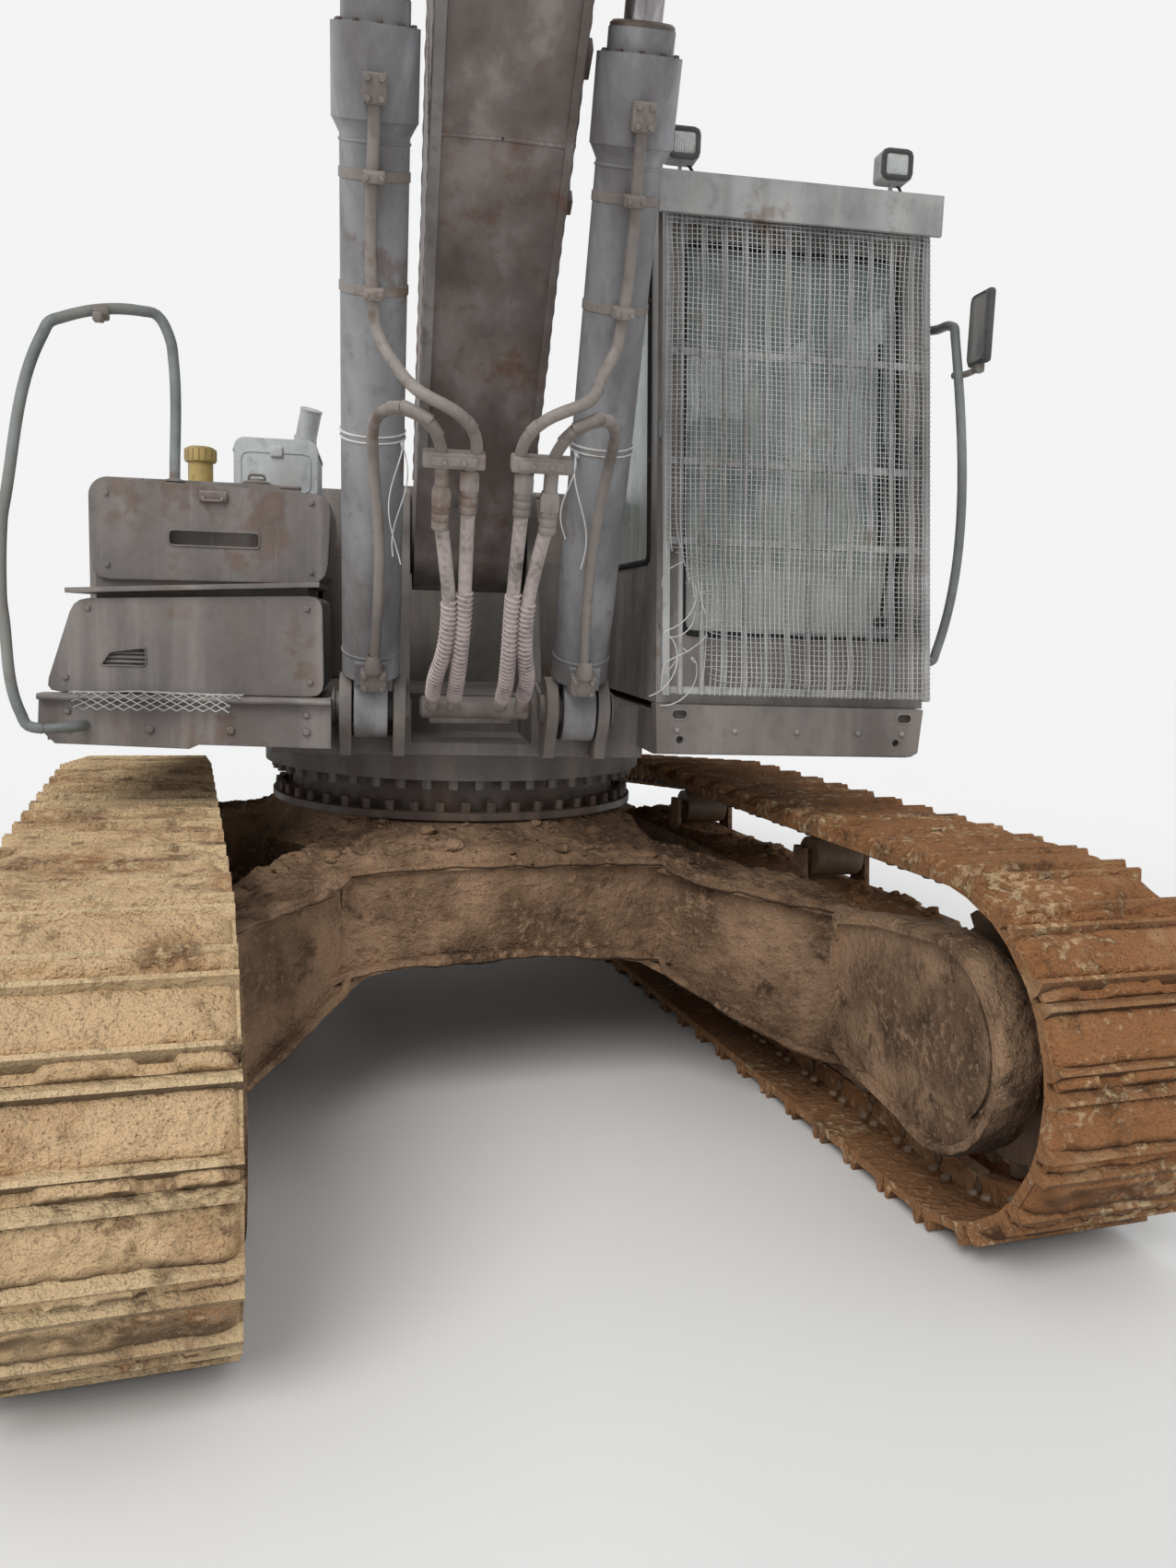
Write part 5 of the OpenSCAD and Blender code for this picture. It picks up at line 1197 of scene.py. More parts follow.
def guard_mesh():
    """Welded mesh wired to the guard's bars: crossing wires on one
    crumpled sheet, whose distance from the bars is coarse unevenness; torn
    away low on one side, where the ends of the cross wires are bent."""
    def sheet_at(x, z):
        where = np.stack([x, 0 * x, z], -1)
        belly = 0.012 * lumps(where, 0.34, 81, 3) + 0.004 * lumps(where, 0.07, 83, 2)
        edge = np.clip(np.minimum(np.minimum(x - 0.605, 1.555 - x),
            np.minimum(z - 0.02, 1.66 - z)) / 0.05, 0, 1)
        return -0.0785 - np.clip(0.008 + belly, -0.002, 0.03) * edge
    def torn(x):
        return np.interp(x, [0.60, 0.66, 0.72, 0.76], [0.52, 0.47, 0.30, 0.0])
    shapes, pitch_m, wire_r = [], 0.0172, 0.0017
    dice = np.random.default_rng(85)
    t = np.linspace(0, 1, 60)
    for x0 in np.arange(0.612, 1.553, pitch_m):
        low = torn(x0) + (dice.uniform(-0.03, 0.03) if x0 < 0.76 else 0)
        z = np.maximum(low, 0.022) + (1.655 - np.maximum(low, 0.022)) * t
        x = x0 + 0.0035 * lumps(np.stack([x0 + 0 * z, 0 * z + 3, z], -1), 0.16, 87, 2)
        y = sheet_at(x, z)
        if low > 0.03:
            y = y - 0.03 * np.exp(-t * 22)
            x = x + dice.uniform(-0.02, 0.02) * np.exp(-t * 18)
        shapes.append(bars(np.stack([x, y, z], -1), wire_r, 3, lead=(1, 0, 0)))
    for z0 in np.arange(0.030, 1.655, pitch_m):
        start = np.interp(z0, [0.0, 0.29, 0.30, 0.47, 0.52, 0.521],
            [0.745, 0.725, 0.72, 0.66, 0.612, 0.608])
        start = start + (dice.uniform(-0.02, 0.02) if z0 < 0.52 else 0)
        x = max(start, 0.607) + (1.556 - max(start, 0.607)) * t
        z = z0 + 0.0035 * lumps(np.stack([x, 0 * x + 5, z0 + 0 * x], -1), 0.16, 89, 2)
        y = sheet_at(x, z)
        if z0 < 0.52:
            y = y - dice.uniform(0.005, 0.04) * np.exp(-t * 30)
            z = z + dice.uniform(-0.03, 0.02) * np.exp(-t * 26)
        shapes.append(bars(np.stack([x, y, z], -1), wire_r, 3, lead=(0, 0, 1)))
    for i, (x0, z0, turns, reach, drop) in enumerate([(0.70, 0.40, 1.0, -0.09, -0.20),
            (0.68, 0.30, 1.6, -0.10, -0.26), (0.72, 0.22, 0.8, -0.14, -0.22),
            (0.66, 0.46, 0.5, -0.05, -0.14), (0.73, 0.12, 1.2, -0.10, -0.16),
            (0.70, 0.16, 0.6, -0.12, -0.05)]):
        w = np.linspace(0, 1, 50)
        path = np.stack([x0 + reach * w + 0.03 * np.sin(turns * 6 * w + i),
            -0.085 - 0.05 * np.sin(2.4 * w + 0.3 * i),
            z0 + drop * w ** 1.3 + 0.03 * np.cos(turns * 6 * w + i) - 0.03 * np.cos(i)], -1)
        shapes.append(bars(path, 0.0022, 5))
    return shapes


piece("guard_mesh", guard_mesh(), wire_steel, "upper", where=cab_frame)

guard_bars_z = (0.04, 0.545, 0.815, 1.19, 1.64)
clips = []
dice = np.random.default_rng(91)
for x in cab_x + 0.068 + np.arange(12) * (cab_w - 0.136) / 11:
    for z in guard_bars_z:
        if dice.uniform() < 0.75 and not (x < 0.8 and z < 0.1):
            a = np.linspace(0, 2 * np.pi * 1.8, 26)
            clips.append(bars(np.stack([x + 0.0125 * np.cos(a), -0.062 + 0.0165 * np.sin(a),
                z + 0.014 + 0.0015 * a], -1), 0.0014, 4, lead=(0, 0, 1)))
piece("guard_tie_wires", clips, wire_steel, "upper", where=cab_frame)
guard_welds = [bars(np.array([[x, -0.0465, z], [x + 0.013, -0.0465, z], [x + 0.025, -0.0465, z]]), 0.004,
    6, lead=(0, 0, 1)) for x in (0.604, 1.531) for z in guard_bars_z]
piece("guard_welds", guard_welds, guard_steel, "upper", where=cab_frame)


def closed(points, d=0.03):
    """A closed route with rounded corners, its first point repeated at the end."""
    points = np.asarray(points, float)
    middle = (points[0] + points[1]) / 2
    return stations(eased(np.concatenate([[middle], points[1:], points[:1], [middle]]), d), 160)


def window(axis, at, low, high, d=0.03):
    """A closed rectangular route square to an axis, between two corners given as pairs."""
    corners = np.array([low, (high[0], low[1]), high, (low[0], high[1])], float)
    return closed(np.insert(corners, axis, at, 1), d)


def leaning_loop(x, inset, back, low, high):
    """A closed route round a window on the cab's side, whose front edge leans with the guard."""
    def front_y(z):
        return cab_y + (z - cab_z) * np.tan(np.radians(cab_lean)) + inset
    return closed([[x, front_y(low), low], [x, front_y(high), high], [x, back, high], [x, back, low]])


seal_outline = np.array([[-0.010, -0.007], [-0.004, -0.011], [0.004, -0.011], [0.010, -0.007],
    [0.010, 0.007], [0.004, 0.010], [-0.004, 0.010], [-0.010, 0.007]])
front_loop = window(1, 0, (0.69, 0.24), (1.47, 1.58))
seals = [put(carried(front_loop, seal_outline, lead=(0, 1, 0)), cab_frame)]
side_low, side_high = cab_z + 0.78, cab_top - 0.15
seals += [carried(leaning_loop(cab_x, 0.11, 0.48, cab_z + 0.48, side_high), seal_outline,
    lead=(1, 0, 0)),
    carried(window(0, cab_out, (-0.06, side_low), (0.48, side_high)), seal_outline, lead=(1, 0, 0)),
    carried(window(1, cab_back, (0.70, side_low), (1.46, side_high)), seal_outline, lead=(0, 1, 0))]
piece("window_seals", seals, seal_rubber, "upper")
door_back, door_low, door_high = -0.15 - 0.09, cab_z + 0.06 + 0.52, cab_top - 0.13 - 0.09
piece("door_window_seal",
    [carried(leaning_loop(cab_out, 0.19, door_back, door_low, door_high), seal_outline, lead=(1, 0, 0))],
    seal_rubber, "cab_entry")
handle = [block((cab_out + 0.012, -0.97, cab_z + 0.49), (0.020, 0.15, 0.075), 0.008),
    bars(bend([[cab_out + 0.018, -1.02, cab_z + 0.49], [cab_out + 0.045, -1.0, cab_z + 0.49],
    [cab_out + 0.047, -0.93, cab_z + 0.49], [cab_out + 0.018, -0.915, cab_z + 0.49]], 30),
    0.008, 10, lead=(0, 0, 1)),
    bars(eased([[cab_out, -0.30, cab_z + 0.25], [cab_out + 0.04, -0.30, cab_z + 0.25],
    [cab_out + 0.04, -0.30, cab_z + 0.62], [cab_out, -0.30, cab_z + 0.62]], 0.02), 0.010, 10)]
piece("door_handles", handle, seal_rubber, "cab_entry")
piece("door_press_line",
    [carried(stations(closed([[cab_out, -1.05, cab_z + 0.14], [cab_out, -0.26, cab_z + 0.14],
    [cab_out, -0.26, cab_z + 0.44], [cab_out, -1.0, cab_z + 0.44]], 0.05), 120),
    seal_outline * 0.5, lead=(1, 0, 0))], cab_paint, "cab_entry")

wiper = [bars(bend([[1.40, -0.012, 0.30], [1.43, -0.022, 0.62], [1.41, -0.022, 0.92]], 30), 0.006, 8,
    lead=(0, 1, 0)),
    flat_bar(bend([[1.40, -0.010, 0.56], [1.40, -0.010, 0.92], [1.40, -0.010, 1.28]], 40), 0.012, 0.016),
    turned([[0, -0.002], [0.022, -0.002], [0.022, 0.02], [0.014, 0.028], [0, 0.03]], 20, (0, -1, 0),
    (1.40, 0, 0.30))]
piece("wiper", wiper, seal_rubber, "upper", where=cab_frame)

visor_y = cab_y + cab_h * np.tan(np.radians(cab_lean))
lamp_bodies, lenses, brackets = [], [], []
for x in (cab_x + 0.065, cab_out - 0.135):
    z, y = cab_top + 0.14, visor_y - 0.07
    rim = window(1, y, (x - 0.048, z - 0.043), (x + 0.048, z + 0.043), 0.016)
    lamp_bodies.append(carried(rim, seal_outline * 0.85, lead=(0, 1, 0)))
    u, v = np.meshgrid(np.linspace(-1, 1, 13), np.linspace(-1, 1, 11), indexing="ij")
    bulge = 0.010 * (1 - u ** 4) * (1 - v ** 4)
    face = np.stack([x + 0.043 * u, y - 0.002 - bulge, z + 0.038 * v], -1)
    lenses.append(crust(face, face + [0, 0.006, 0] + np.stack([0 * bulge, bulge, 0 * bulge], -1)))
    for i in np.linspace(-0.03, 0.03, 5):
        lamp_bodies.append(block((x + i, visor_y + 0.009, z), (0.006, 0.010, 0.07), 0.002))
    brackets.append(bars(bend([[x + 0.02, visor_y - 0.02, cab_top + 0.10],
        [x + 0.06, visor_y + 0.02, cab_top + 0.07], [x + 0.05, visor_y + 0.08, cab_top + 0.035]],
        24), 0.005, 8))
    brackets += [bolts_on([[x - 0.01, visor_y - 0.0315, cab_top + 0.04]], 0.010, 0.008, (0, -1, 0))]
piece("lamp_rims", lamp_bodies, trim_plastic, "upper")
piece("lamp_lenses", lenses, lens_glass, "upper", smooth=70)
piece("lamp_cables", brackets, seal_rubber, "upper")
roof = [cushion((0.72, -0.72, cab_top - 0.01), (1.44, 0.02, cab_top + 0.035), 0.02),
    cushion((0.76, 0.12, cab_top - 0.01), (1.40, 0.46, cab_top + 0.028), 0.02),
    bars(eased([[0.90, -0.70, cab_top + 0.02], [0.90, -0.75, cab_top + 0.03],
    [1.26, -0.75, cab_top + 0.03], [1.26, -0.70, cab_top + 0.02]], 0.015), 0.007, 8)]
piece("roof_hatch", roof, cab_paint, "upper")
skirt_y = -1.22 - 0.0755
skirt = [window(1, skirt_y, (x, cab_z - 0.05), (x + 0.055, cab_z - 0.016), 0.015)
    for x in (cab_x + 0.04, cab_out - 0.12)]
piece("skirt_rims",
    [bars(line, 0.003, 6, lead=(0, 1, 0)) for line in skirt]
    + [bolts_on([[x, skirt_y, 1.44] for x in (0.66, 0.86, 1.08, 1.30, 1.46)], 0.010, 0.008, (0, -1, 0))],
    cab_paint, "upper")


def pad(name, low, high, crown, waist, piping=True):
    """A stuffed cushion: a rounded block on a grid of angle and height, crowned by a smooth swell on
    its broad faces and drawn in between its corners; its seam is a thin cord round the widest part."""
    low, high = np.asarray(low, float), np.asarray(high, float)
    a, h = np.linspace(0, 2 * np.pi, 64, endpoint=False), np.linspace(-np.pi / 2, np.pi / 2, 25)
    H, A = np.meshgrid(h, a, indexing="ij")
    def soft(v, p):
        return np.sign(v) * np.abs(v) ** p
    x, y, z = soft(np.cos(H), 0.45) * soft(np.cos(A), 0.42), soft(np.cos(H), 0.45) * soft(np.sin(A),
        0.42), soft(np.sin(H), 0.6)
    swell = crown * (1 - x ** 2) * (1 - y ** 2)
    pinch = 1 - waist * (1 - np.abs(x)) * np.abs(y) ** 3
    pinch_x = 1 - waist * (1 - np.abs(y)) * np.abs(x) ** 3
    half_size, middle = (high - low) / 2, (low + high) / 2
    crease = 0.003 * lumps(np.stack([x, y, z], -1), 0.5, 97, 3)
    points = np.stack([x * half_size[0] * pinch_x, y * half_size[1] * pinch,
        z * (half_size[2] + swell) + crease], -1) + middle
    made = piece(name, [skin(points, True)], seat_black, "upper", 80)
    ring = np.stack([1.006 * soft(np.cos(a), 0.42) * half_size[0],
        1.006 * soft(np.sin(a), 0.42) * half_size[1], 0 * a], -1) + middle
    if piping:
        piece(name + "_piping", [bars(np.concatenate([ring, ring[:1]]), 0.004, 6, lead=(0, 0, 1))],
            trim_plastic, "upper")
    return made


floor_z = cab_z + 0.06
mid_x = cab_x + cab_w / 2
seat_pad = pad("seat_pad", (mid_x - 0.245, -0.695, floor_z + 0.33),
    (mid_x + 0.245, -0.175, floor_z + 0.445), 0.016, 0.05)
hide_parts("cab_seat")
pad("seat_back", (mid_x - 0.235, -0.19, floor_z + 0.42), (mid_x + 0.235, -0.075, floor_z + 0.86),
    0.0, 0.04, False)
pad("head_rest", (mid_x - 0.14, -0.185, floor_z + 0.89), (mid_x + 0.14, -0.085, floor_z + 1.07),
    0.0, 0.05, False)
for m, name in [(-1, "right"), (1, "left")]:
    pad(name + "_arm_rest", (mid_x + m * 0.33 - 0.055, -0.60, floor_z + 0.545),
        (mid_x + m * 0.33 + 0.055, -0.24, floor_z + 0.60), 0.006, 0.03, False)


def seat_frame():
    """The seat's stand, bellows, consoles, levers and head rest posts."""
    shapes = [cushion((mid_x - 0.17, -0.60, floor_z + 0.001),
        (mid_x + 0.17, -0.22, floor_z + 0.05), 0.015)]
    h = np.linspace(0.05, 0.27, 40)
    bellow = 0.150 + 0.010 * np.cos(h * 160)
    folds = np.column_stack([np.concatenate([[0], bellow, [0]]),
        np.concatenate([[0.05], h, [0.27]]) + floor_z])
    sleeve = turned(folds, 28, at=(mid_x, -0.41 / 1.1, 0))
    shapes.append((sleeve[0] * [1, 1.1, 1], sleeve[1]))
    shapes.append(cushion((mid_x - 0.22, -0.66, floor_z + 0.27),
        (mid_x + 0.22, -0.2, floor_z + 0.335), 0.02))
    for x in (-0.06, 0.06):
        shapes.append(bars([[mid_x + x, -0.13, floor_z + 0.82],
            [mid_x + x, -0.13, floor_z + 0.95]], 0.008, 8))
    for m in (-1, 1):
        x = mid_x + m * 0.33
        shapes.append(cushion((x - 0.065, -0.75, floor_z + 0.385),
            (x + 0.065, -0.21, floor_z + 0.54), 0.03))
        shapes.append(cushion((x - 0.04, -0.50, floor_z + 0.001),
            (x + 0.04, -0.26, floor_z + 0.40), 0.02))
        shapes.append(turned([[0.05, 0], [0.042, 0.012], [0.036, 0.014], [0.030, 0.03], [0.026, 0.032],
            [0.018, 0.055], [0.012, 0.06], [0.010, 0.10], [0, 0.10]], 20, at=(x, -0.68, floor_z + 0.535)))
        grip = np.array([[0, 0.085], [0.017, 0.09], [0.021, 0.11], [0.019, 0.14], [0.022, 0.165],
            [0.026, 0.185], [0.020, 0.2], [0, 0.204]])
        shapes.append(turned(grip, 18, (0, 0.12, 1), (x, -0.68, floor_z + 0.535)))
    return shapes


piece("seat_frame", seat_frame(), trim_plastic, "upper")


def pedals():
    """Two travel pedals with their tall levers, and a foot rest."""
    shapes = []
    for x in (mid_x - 0.07, mid_x + 0.07):
        shapes.append(put(cushion((-0.05, -0.13, -0.01), (0.05, 0.13, 0.012), 0.008),
            tilted(-22, (x, -0.97, floor_z + 0.10))))
        shapes.append(bars(bend([[x, -0.96, floor_z + 0.02], [x, -0.93, floor_z + 0.30],
            [x, -0.86, floor_z + 0.62]], 24), 0.010, 10, lead=(1, 0, 0)))
        shapes.append(turned([[0, -0.02], [0.018, -0.01], [0.022, 0.02], [0.016, 0.045], [0, 0.05]], 16,
            at=(x, -0.86, floor_z + 0.63)))
    shapes.append(put(cushion((-0.06, -0.12, -0.01), (0.06, 0.12, 0.012), 0.008),
        tilted(-22, (mid_x - 0.27, -0.98, floor_z + 0.08))))
    shapes.append(cushion((cab_out - 0.16, -1.02, floor_z + 0.60),
        (cab_out - 0.075, -0.84, floor_z + 0.80), 0.02))
    return shapes


piece("pedals", pedals(), mat_rubber, "upper")
u, v = np.meshgrid(np.linspace(0.67, 1.49, 90), np.linspace(-1.13, 0.48, 30), indexing="ij")
ridge = 0.003 * (np.sin(u * 260) > 0)
mat = np.stack([u, v, floor_z + 0.006 + ridge], -1)
piece("floor_mat", [crust(mat, mat * [1, 1, 0] + [0, 0, floor_z + 0.0005])], mat_rubber,
    "upper")


# Upper structure


def smooth_tube(points, d, r, count=140):
    return bars(bend(eased(points, d), count), r, 16)


rail_y, rail_low, box_top = -1.14, 1.41, 2.195
rail_points = [[-0.985, rail_y + 0.1, box_top - 0.005],
    [-0.985, rail_y + 0.1, box_top + 0.43], [-1.030, rail_y + 0.09, box_top + 0.53],
    [-1.335, rail_y - 0.03, box_top + 0.455], [-1.472, rail_y - 0.055, 2.055],
    [-1.480, rail_y - 0.06, 1.795], [-1.415, rail_y - 0.095, rail_low - 0.01],
    [-1.250, rail_y - 0.095, rail_low], [-1.250, -1.170, rail_low]]
hand_rail = smooth_tube(rail_points, 0.05, 0.017, 180)
foot_rings = [turned([[0.017, 0], [0.034, 0], [0.034, 0.006], [0.022, 0.009], [0.017, 0.012]], 20,
    at=(-0.985, rail_y + 0.1, box_top - 0.001))]
piece("hand_rail", [hand_rail] + foot_rings, grey_tube, "upper", replaces=["handrails"])
clamp_dir = np.array([-0.305, -0.12, -0.075])
clamp = [turned([[0.017, -0.022], [0.024, -0.022], [0.025, -0.018], [0.025, 0.018], [0.024, 0.022],
    [0.017, 0.022]], 18, clamp_dir, np.array([-1.19, rail_y + 0.027, box_top + 0.494])),
    block((-1.19, rail_y, box_top + 0.475), (0.030, 0.035, 0.028), 0.005)]
piece("hand_rail_clamp", clamp, dusty_iron, "upper")
cab_rail_x, cab_rail_y = cab_out + 0.06, cab_y + 0.03
cab_rails = [smooth_tube([[cab_out, cab_rail_y + 0.015, cab_z + 0.16],
    [cab_rail_x, cab_rail_y + 0.015, cab_z + 0.16], [cab_rail_x, cab_rail_y + 0.04, cab_z + 1.32],
    [cab_rail_x, cab_rail_y + 0.25, cab_z + 1.345], [cab_out, cab_rail_y + 0.25, cab_z + 1.345]],
    0.04, 0.016),
    smooth_tube([[cab_rail_x, cab_rail_y + 0.036, cab_z + 1.15],
    [cab_rail_x + 0.045, cab_rail_y - 0.06, cab_z + 1.15],
    [cab_rail_x + 0.045, cab_rail_y - 0.06, cab_z + 1.40]], 0.04, 0.011)]
mirror_at = (cab_rail_x + 0.045, cab_rail_y - 0.06, cab_z + 1.29)
mirror = block(mirror_at, (0.028, 0.13, 0.24), 0.012)
piece("cab_hand_rail",
    cab_rails + [block((mirror_at[0], mirror_at[1], mirror_at[2] - 0.13), (0.030, 0.034, 0.03), 0.006)],
    grey_tube, "upper", replaces=["cab_rail"])
piece("mirror_case",
    [mirror,
    bars(window(0, mirror_at[0] - 0.0145, (mirror_at[1] - 0.055, mirror_at[2] - 0.11),
    (mirror_at[1] + 0.055, mirror_at[2] + 0.11), 0.02), 0.004, 6)], trim_plastic, "upper")
mirror_face = block((mirror_at[0] - 0.0135, mirror_at[1], mirror_at[2]), (0.004, 0.108, 0.218), 0.002)
mirror_glass = polished_rod("mirror glass", (186, 192, 194), (150, 144, 134))
piece("mirror_glass", [mirror_face], mirror_glass, "upper")


def tread_strip():
    """Torn expanded metal on the step: zigzag strands that meet at their peaks, laid on the step's
    edge and bent down over its front, dented by unevenness and curling where it has torn."""
    t = np.linspace(0, 1, 320)
    shapes = []
    dice = np.random.default_rng(101)
    for row in range(11):
        start, end = -1.29 + dice.uniform(0, 0.05) * (row > 5), -0.76 - dice.uniform(0.0,
            0.10) * (row > 4)
        x = start + (end - start) * t
        zig = 0.0055 * (2 * np.abs(2 * np.mod(x / 0.040 + 0.5 * (row % 2), 1) - 1) - 1)
        v = row * 0.0110 + zig
        where = np.stack([x, v, 0 * x], -1)
        dent = 0.010 * lumps(where, 0.16, 103, 3)
        curl = 0.03 * np.clip((np.abs(t - 0.5) - 0.44) / 0.06, 0, 1) ** 2 * (row > 5)
        flat = np.clip(v, None, 0.062)
        down = np.clip(v - 0.062, 0, None)
        y = -1.135 - flat - 0.004 - 0.25 * down - np.clip(dent, -0.002, 0.012) * (down > 0) - curl
        z = 1.513 - down * 0.97 + np.clip(dent, 0, 0.012) * (down <= 0) + 0.003
        shapes.append(carried(np.stack([x, y, z], -1), box_outline(0.0012, 0.0022), lead=(0, 1, 0.2)))
    return shapes


piece("step_tread", tread_strip(), wire_steel, "upper")
step_trim = [bars(stations([[-1.384, -1.196, 1.4995], [-0.48, -1.196, 1.4995]], 80)
    + np.column_stack([np.zeros(80),
    0.004 * lumps(np.linspace(0, 1, 80)[:, None] * [1, 0, 0], 0.12, 105, 2),
    0.003 * lumps(np.linspace(0, 1, 80)[:, None] * [0, 1, 0], 0.1, 106, 2)]), 0.010, 8, lead=(0, 1, 0)),
    bolts_on([[x, -1.1705, 1.40] for x in (-1.30, -1.05, -0.80, -0.56)], 0.014, 0.011, (0, -1, 0)),
    bolts_on([[x, -1.1705, 1.455] for x in (-1.30, -0.56)], 0.011, 0.009, (0, -1, 0))]
piece("step_edge", step_trim, rusty_panel, "upper")

mid_z = deck_z + 0.365
box_trim = [bars(window(1, -1.0815, (-1.0, mid_z + 0.13), (-0.715, mid_z + 0.18), 0.014), 0.0035, 6,
    lead=(0, 1, 0)),
    bars(closed([[-1.205, -1.1415, deck_z + 0.105], [-1.065, -1.1415, deck_z + 0.105],
    [-1.065, -1.1415, deck_z + 0.165], [-1.175, -1.1415, deck_z + 0.150]], 0.012), 0.003, 6,
    lead=(0, 1, 0)),
    bolts_on([[x, -1.0805, z] for x in (-1.19, -0.55) for z in (mid_z + 0.06, box_top - 0.05)], 0.009,
    0.007, (0, -1, 0)),
    bolts_on([[x, -1.1405, z] for x, z in [(-1.31, 1.56), (-0.55, 1.56), (-1.24, 1.78), (-0.56, 1.80)]],
    0.010, 0.008, (0, -1, 0)), block((-0.86, -1.085, box_top - 0.045), (0.09, 0.016, 0.035), 0.005),
    bars(eased([[-0.89, -1.092, box_top - 0.05], [-0.89, -1.108, box_top - 0.06],
    [-0.83, -1.108, box_top - 0.06], [-0.83, -1.092, box_top - 0.05]], 0.008), 0.0045, 8)]
for x in (-1.12, -0.62):
    box_trim.append(rod(0.007, -0.035, 0.035, 12, (1, 0, 0), (x, -1.03, box_top + 0.001)))
for y in (-0.95, -0.72, -0.55):
    box_trim.append(bead(np.array([[-1.30, y, 1.56], [-1.27, y, mid_z - 0.08]]) + [-0.052, 0, 0],
        0.004, 107, 60))
piece("tool_box_trim", box_trim, rusty_panel, "upper")
blades = [put(cushion((-0.075, -0.016, -0.002), (0.075, 0.016, 0.002), 0.0018),
    tilted(35, (-1.135, -1.118, deck_z + 0.110 + i * 0.0145))) for i in range(4)]
piece("locker_louvres", blades, rusty_panel, "upper")

tank_top = deck_z + 0.765
tank_trim = []
for y in (-0.28, 0.02, 0.30, 0.70, 1.05, 1.32):
    wide = (-1.385, -0.60) if y < 0.5 else (-1.485, -0.60)
    high = tank_top if y < 0.5 else tank_top + 0.06
    strap = eased([[wide[0] - 0.002, y, deck_z + 0.03], [wide[0] - 0.002, y, high + 0.002],
        [wide[1] + 0.002, y, high + 0.002], [wide[1] + 0.002, y, deck_z + 0.4]], 0.07)
    tank_trim.append(carried(stations(strap, 90), box_outline(0.003, 0.022), lead=(0, 1, 0)))
piece("tank_straps", tank_trim, dusty_paint, "upper")
grips = []
for x in np.arange(-1.30, -0.66, 0.085):
    grips.append(cushion((x - 0.012, 0.60, tank_top + 0.059), (x + 0.012, 1.34, tank_top + 0.068), 0.003))
grips += [turned([[0, 0], [0.055, 0], [0.055, 0.018], [0.045, 0.026], [0.03, 0.026],
    [0.026, 0.034], [0, 0.034]], 28, at=(-0.80, -0.28, tank_top)),
    bars(eased([[-0.83, -0.28, tank_top + 0.03], [-0.83, -0.28, tank_top + 0.05],
    [-0.77, -0.28, tank_top + 0.05], [-0.77, -0.28, tank_top + 0.03]], 0.012), 0.005, 8)]
piece("tank_top_grips", grips, dusty_iron, "upper")
cap_a, cap_r, filler_x, filler_y = np.arange(16) * np.pi / 8, 0.0585, -1.020, -0.200
neck = [bars(np.stack([np.stack([filler_x + cap_r * np.cos(cap_a), filler_y + cap_r * np.sin(cap_a),
    0 * cap_a + tank_top + z], -1) for z in (0.102, 0.122, 0.142)], 1), 0.0035, 6),
    turned([[0.047, 0.0], [0.056, 0.004], [0.056, 0.012], [0.047, 0.018]], 32,
    at=(filler_x, filler_y, tank_top + 0.001)),
    turned([[0, 0.144], [0.050, 0.144], [0.050, 0.149], [0.040, 0.153], [0, 0.154]], 32,
    at=(filler_x, filler_y, tank_top + 0.001))]
piece("filler_cap_ribs", neck, yellow_cap, "upper")
rear_box = [bars(window(1, 0.149, (-0.905, tank_top + 0.03), (-0.620, tank_top + 0.19)), 0.003,
    6, lead=(0, 1, 0)),
    carried(stations(eased([[-0.936, 0.149, tank_top + 0.195], [-0.936, 0.531, tank_top + 0.195],
    [-0.589, 0.531, tank_top + 0.195], [-0.589, 0.149, tank_top + 0.195]], 0.02), 80),
    box_outline(0.003, 0.006), lead=(0, 0, 1)),
    block((-0.76, 0.144, tank_top + 0.195), (0.05, 0.014, 0.045), 0.005)]
piece("rear_box_trim", rear_box, pale_plastic, "upper")
lean, stack_x, stack_y = 0.2618, -0.745, 1.9
pipe_dir = np.array([0.2079 * np.cos(lean), -np.sin(lean), np.cos(lean) * 0.9781])
top_at = np.array([stack_x, stack_y, house_z + 0.3]) + unit(pipe_dir) * 0.175
stack = [turned([[0.0585, -0.012], [0.0605, -0.008], [0.0605, 0.003], [0.058, 0.004],
    [0.053, 0.002], [0.052, -0.10], [0.0, -0.10]], 32, pipe_dir, top_at),
    turned([[0.062, 0.20], [0.066, 0.204], [0.066, 0.226], [0.062, 0.23]], 36,
    at=(stack_x, stack_y, house_z)),
    block((stack_x, 1.828, house_z + 0.215), (0.05, 0.024, 0.026), 0.005)]
piece("exhaust_rim", stack, rusty_pipe, "upper")


side_face, roof_front, roof_rear = 1.5205, 1.44, 2.36


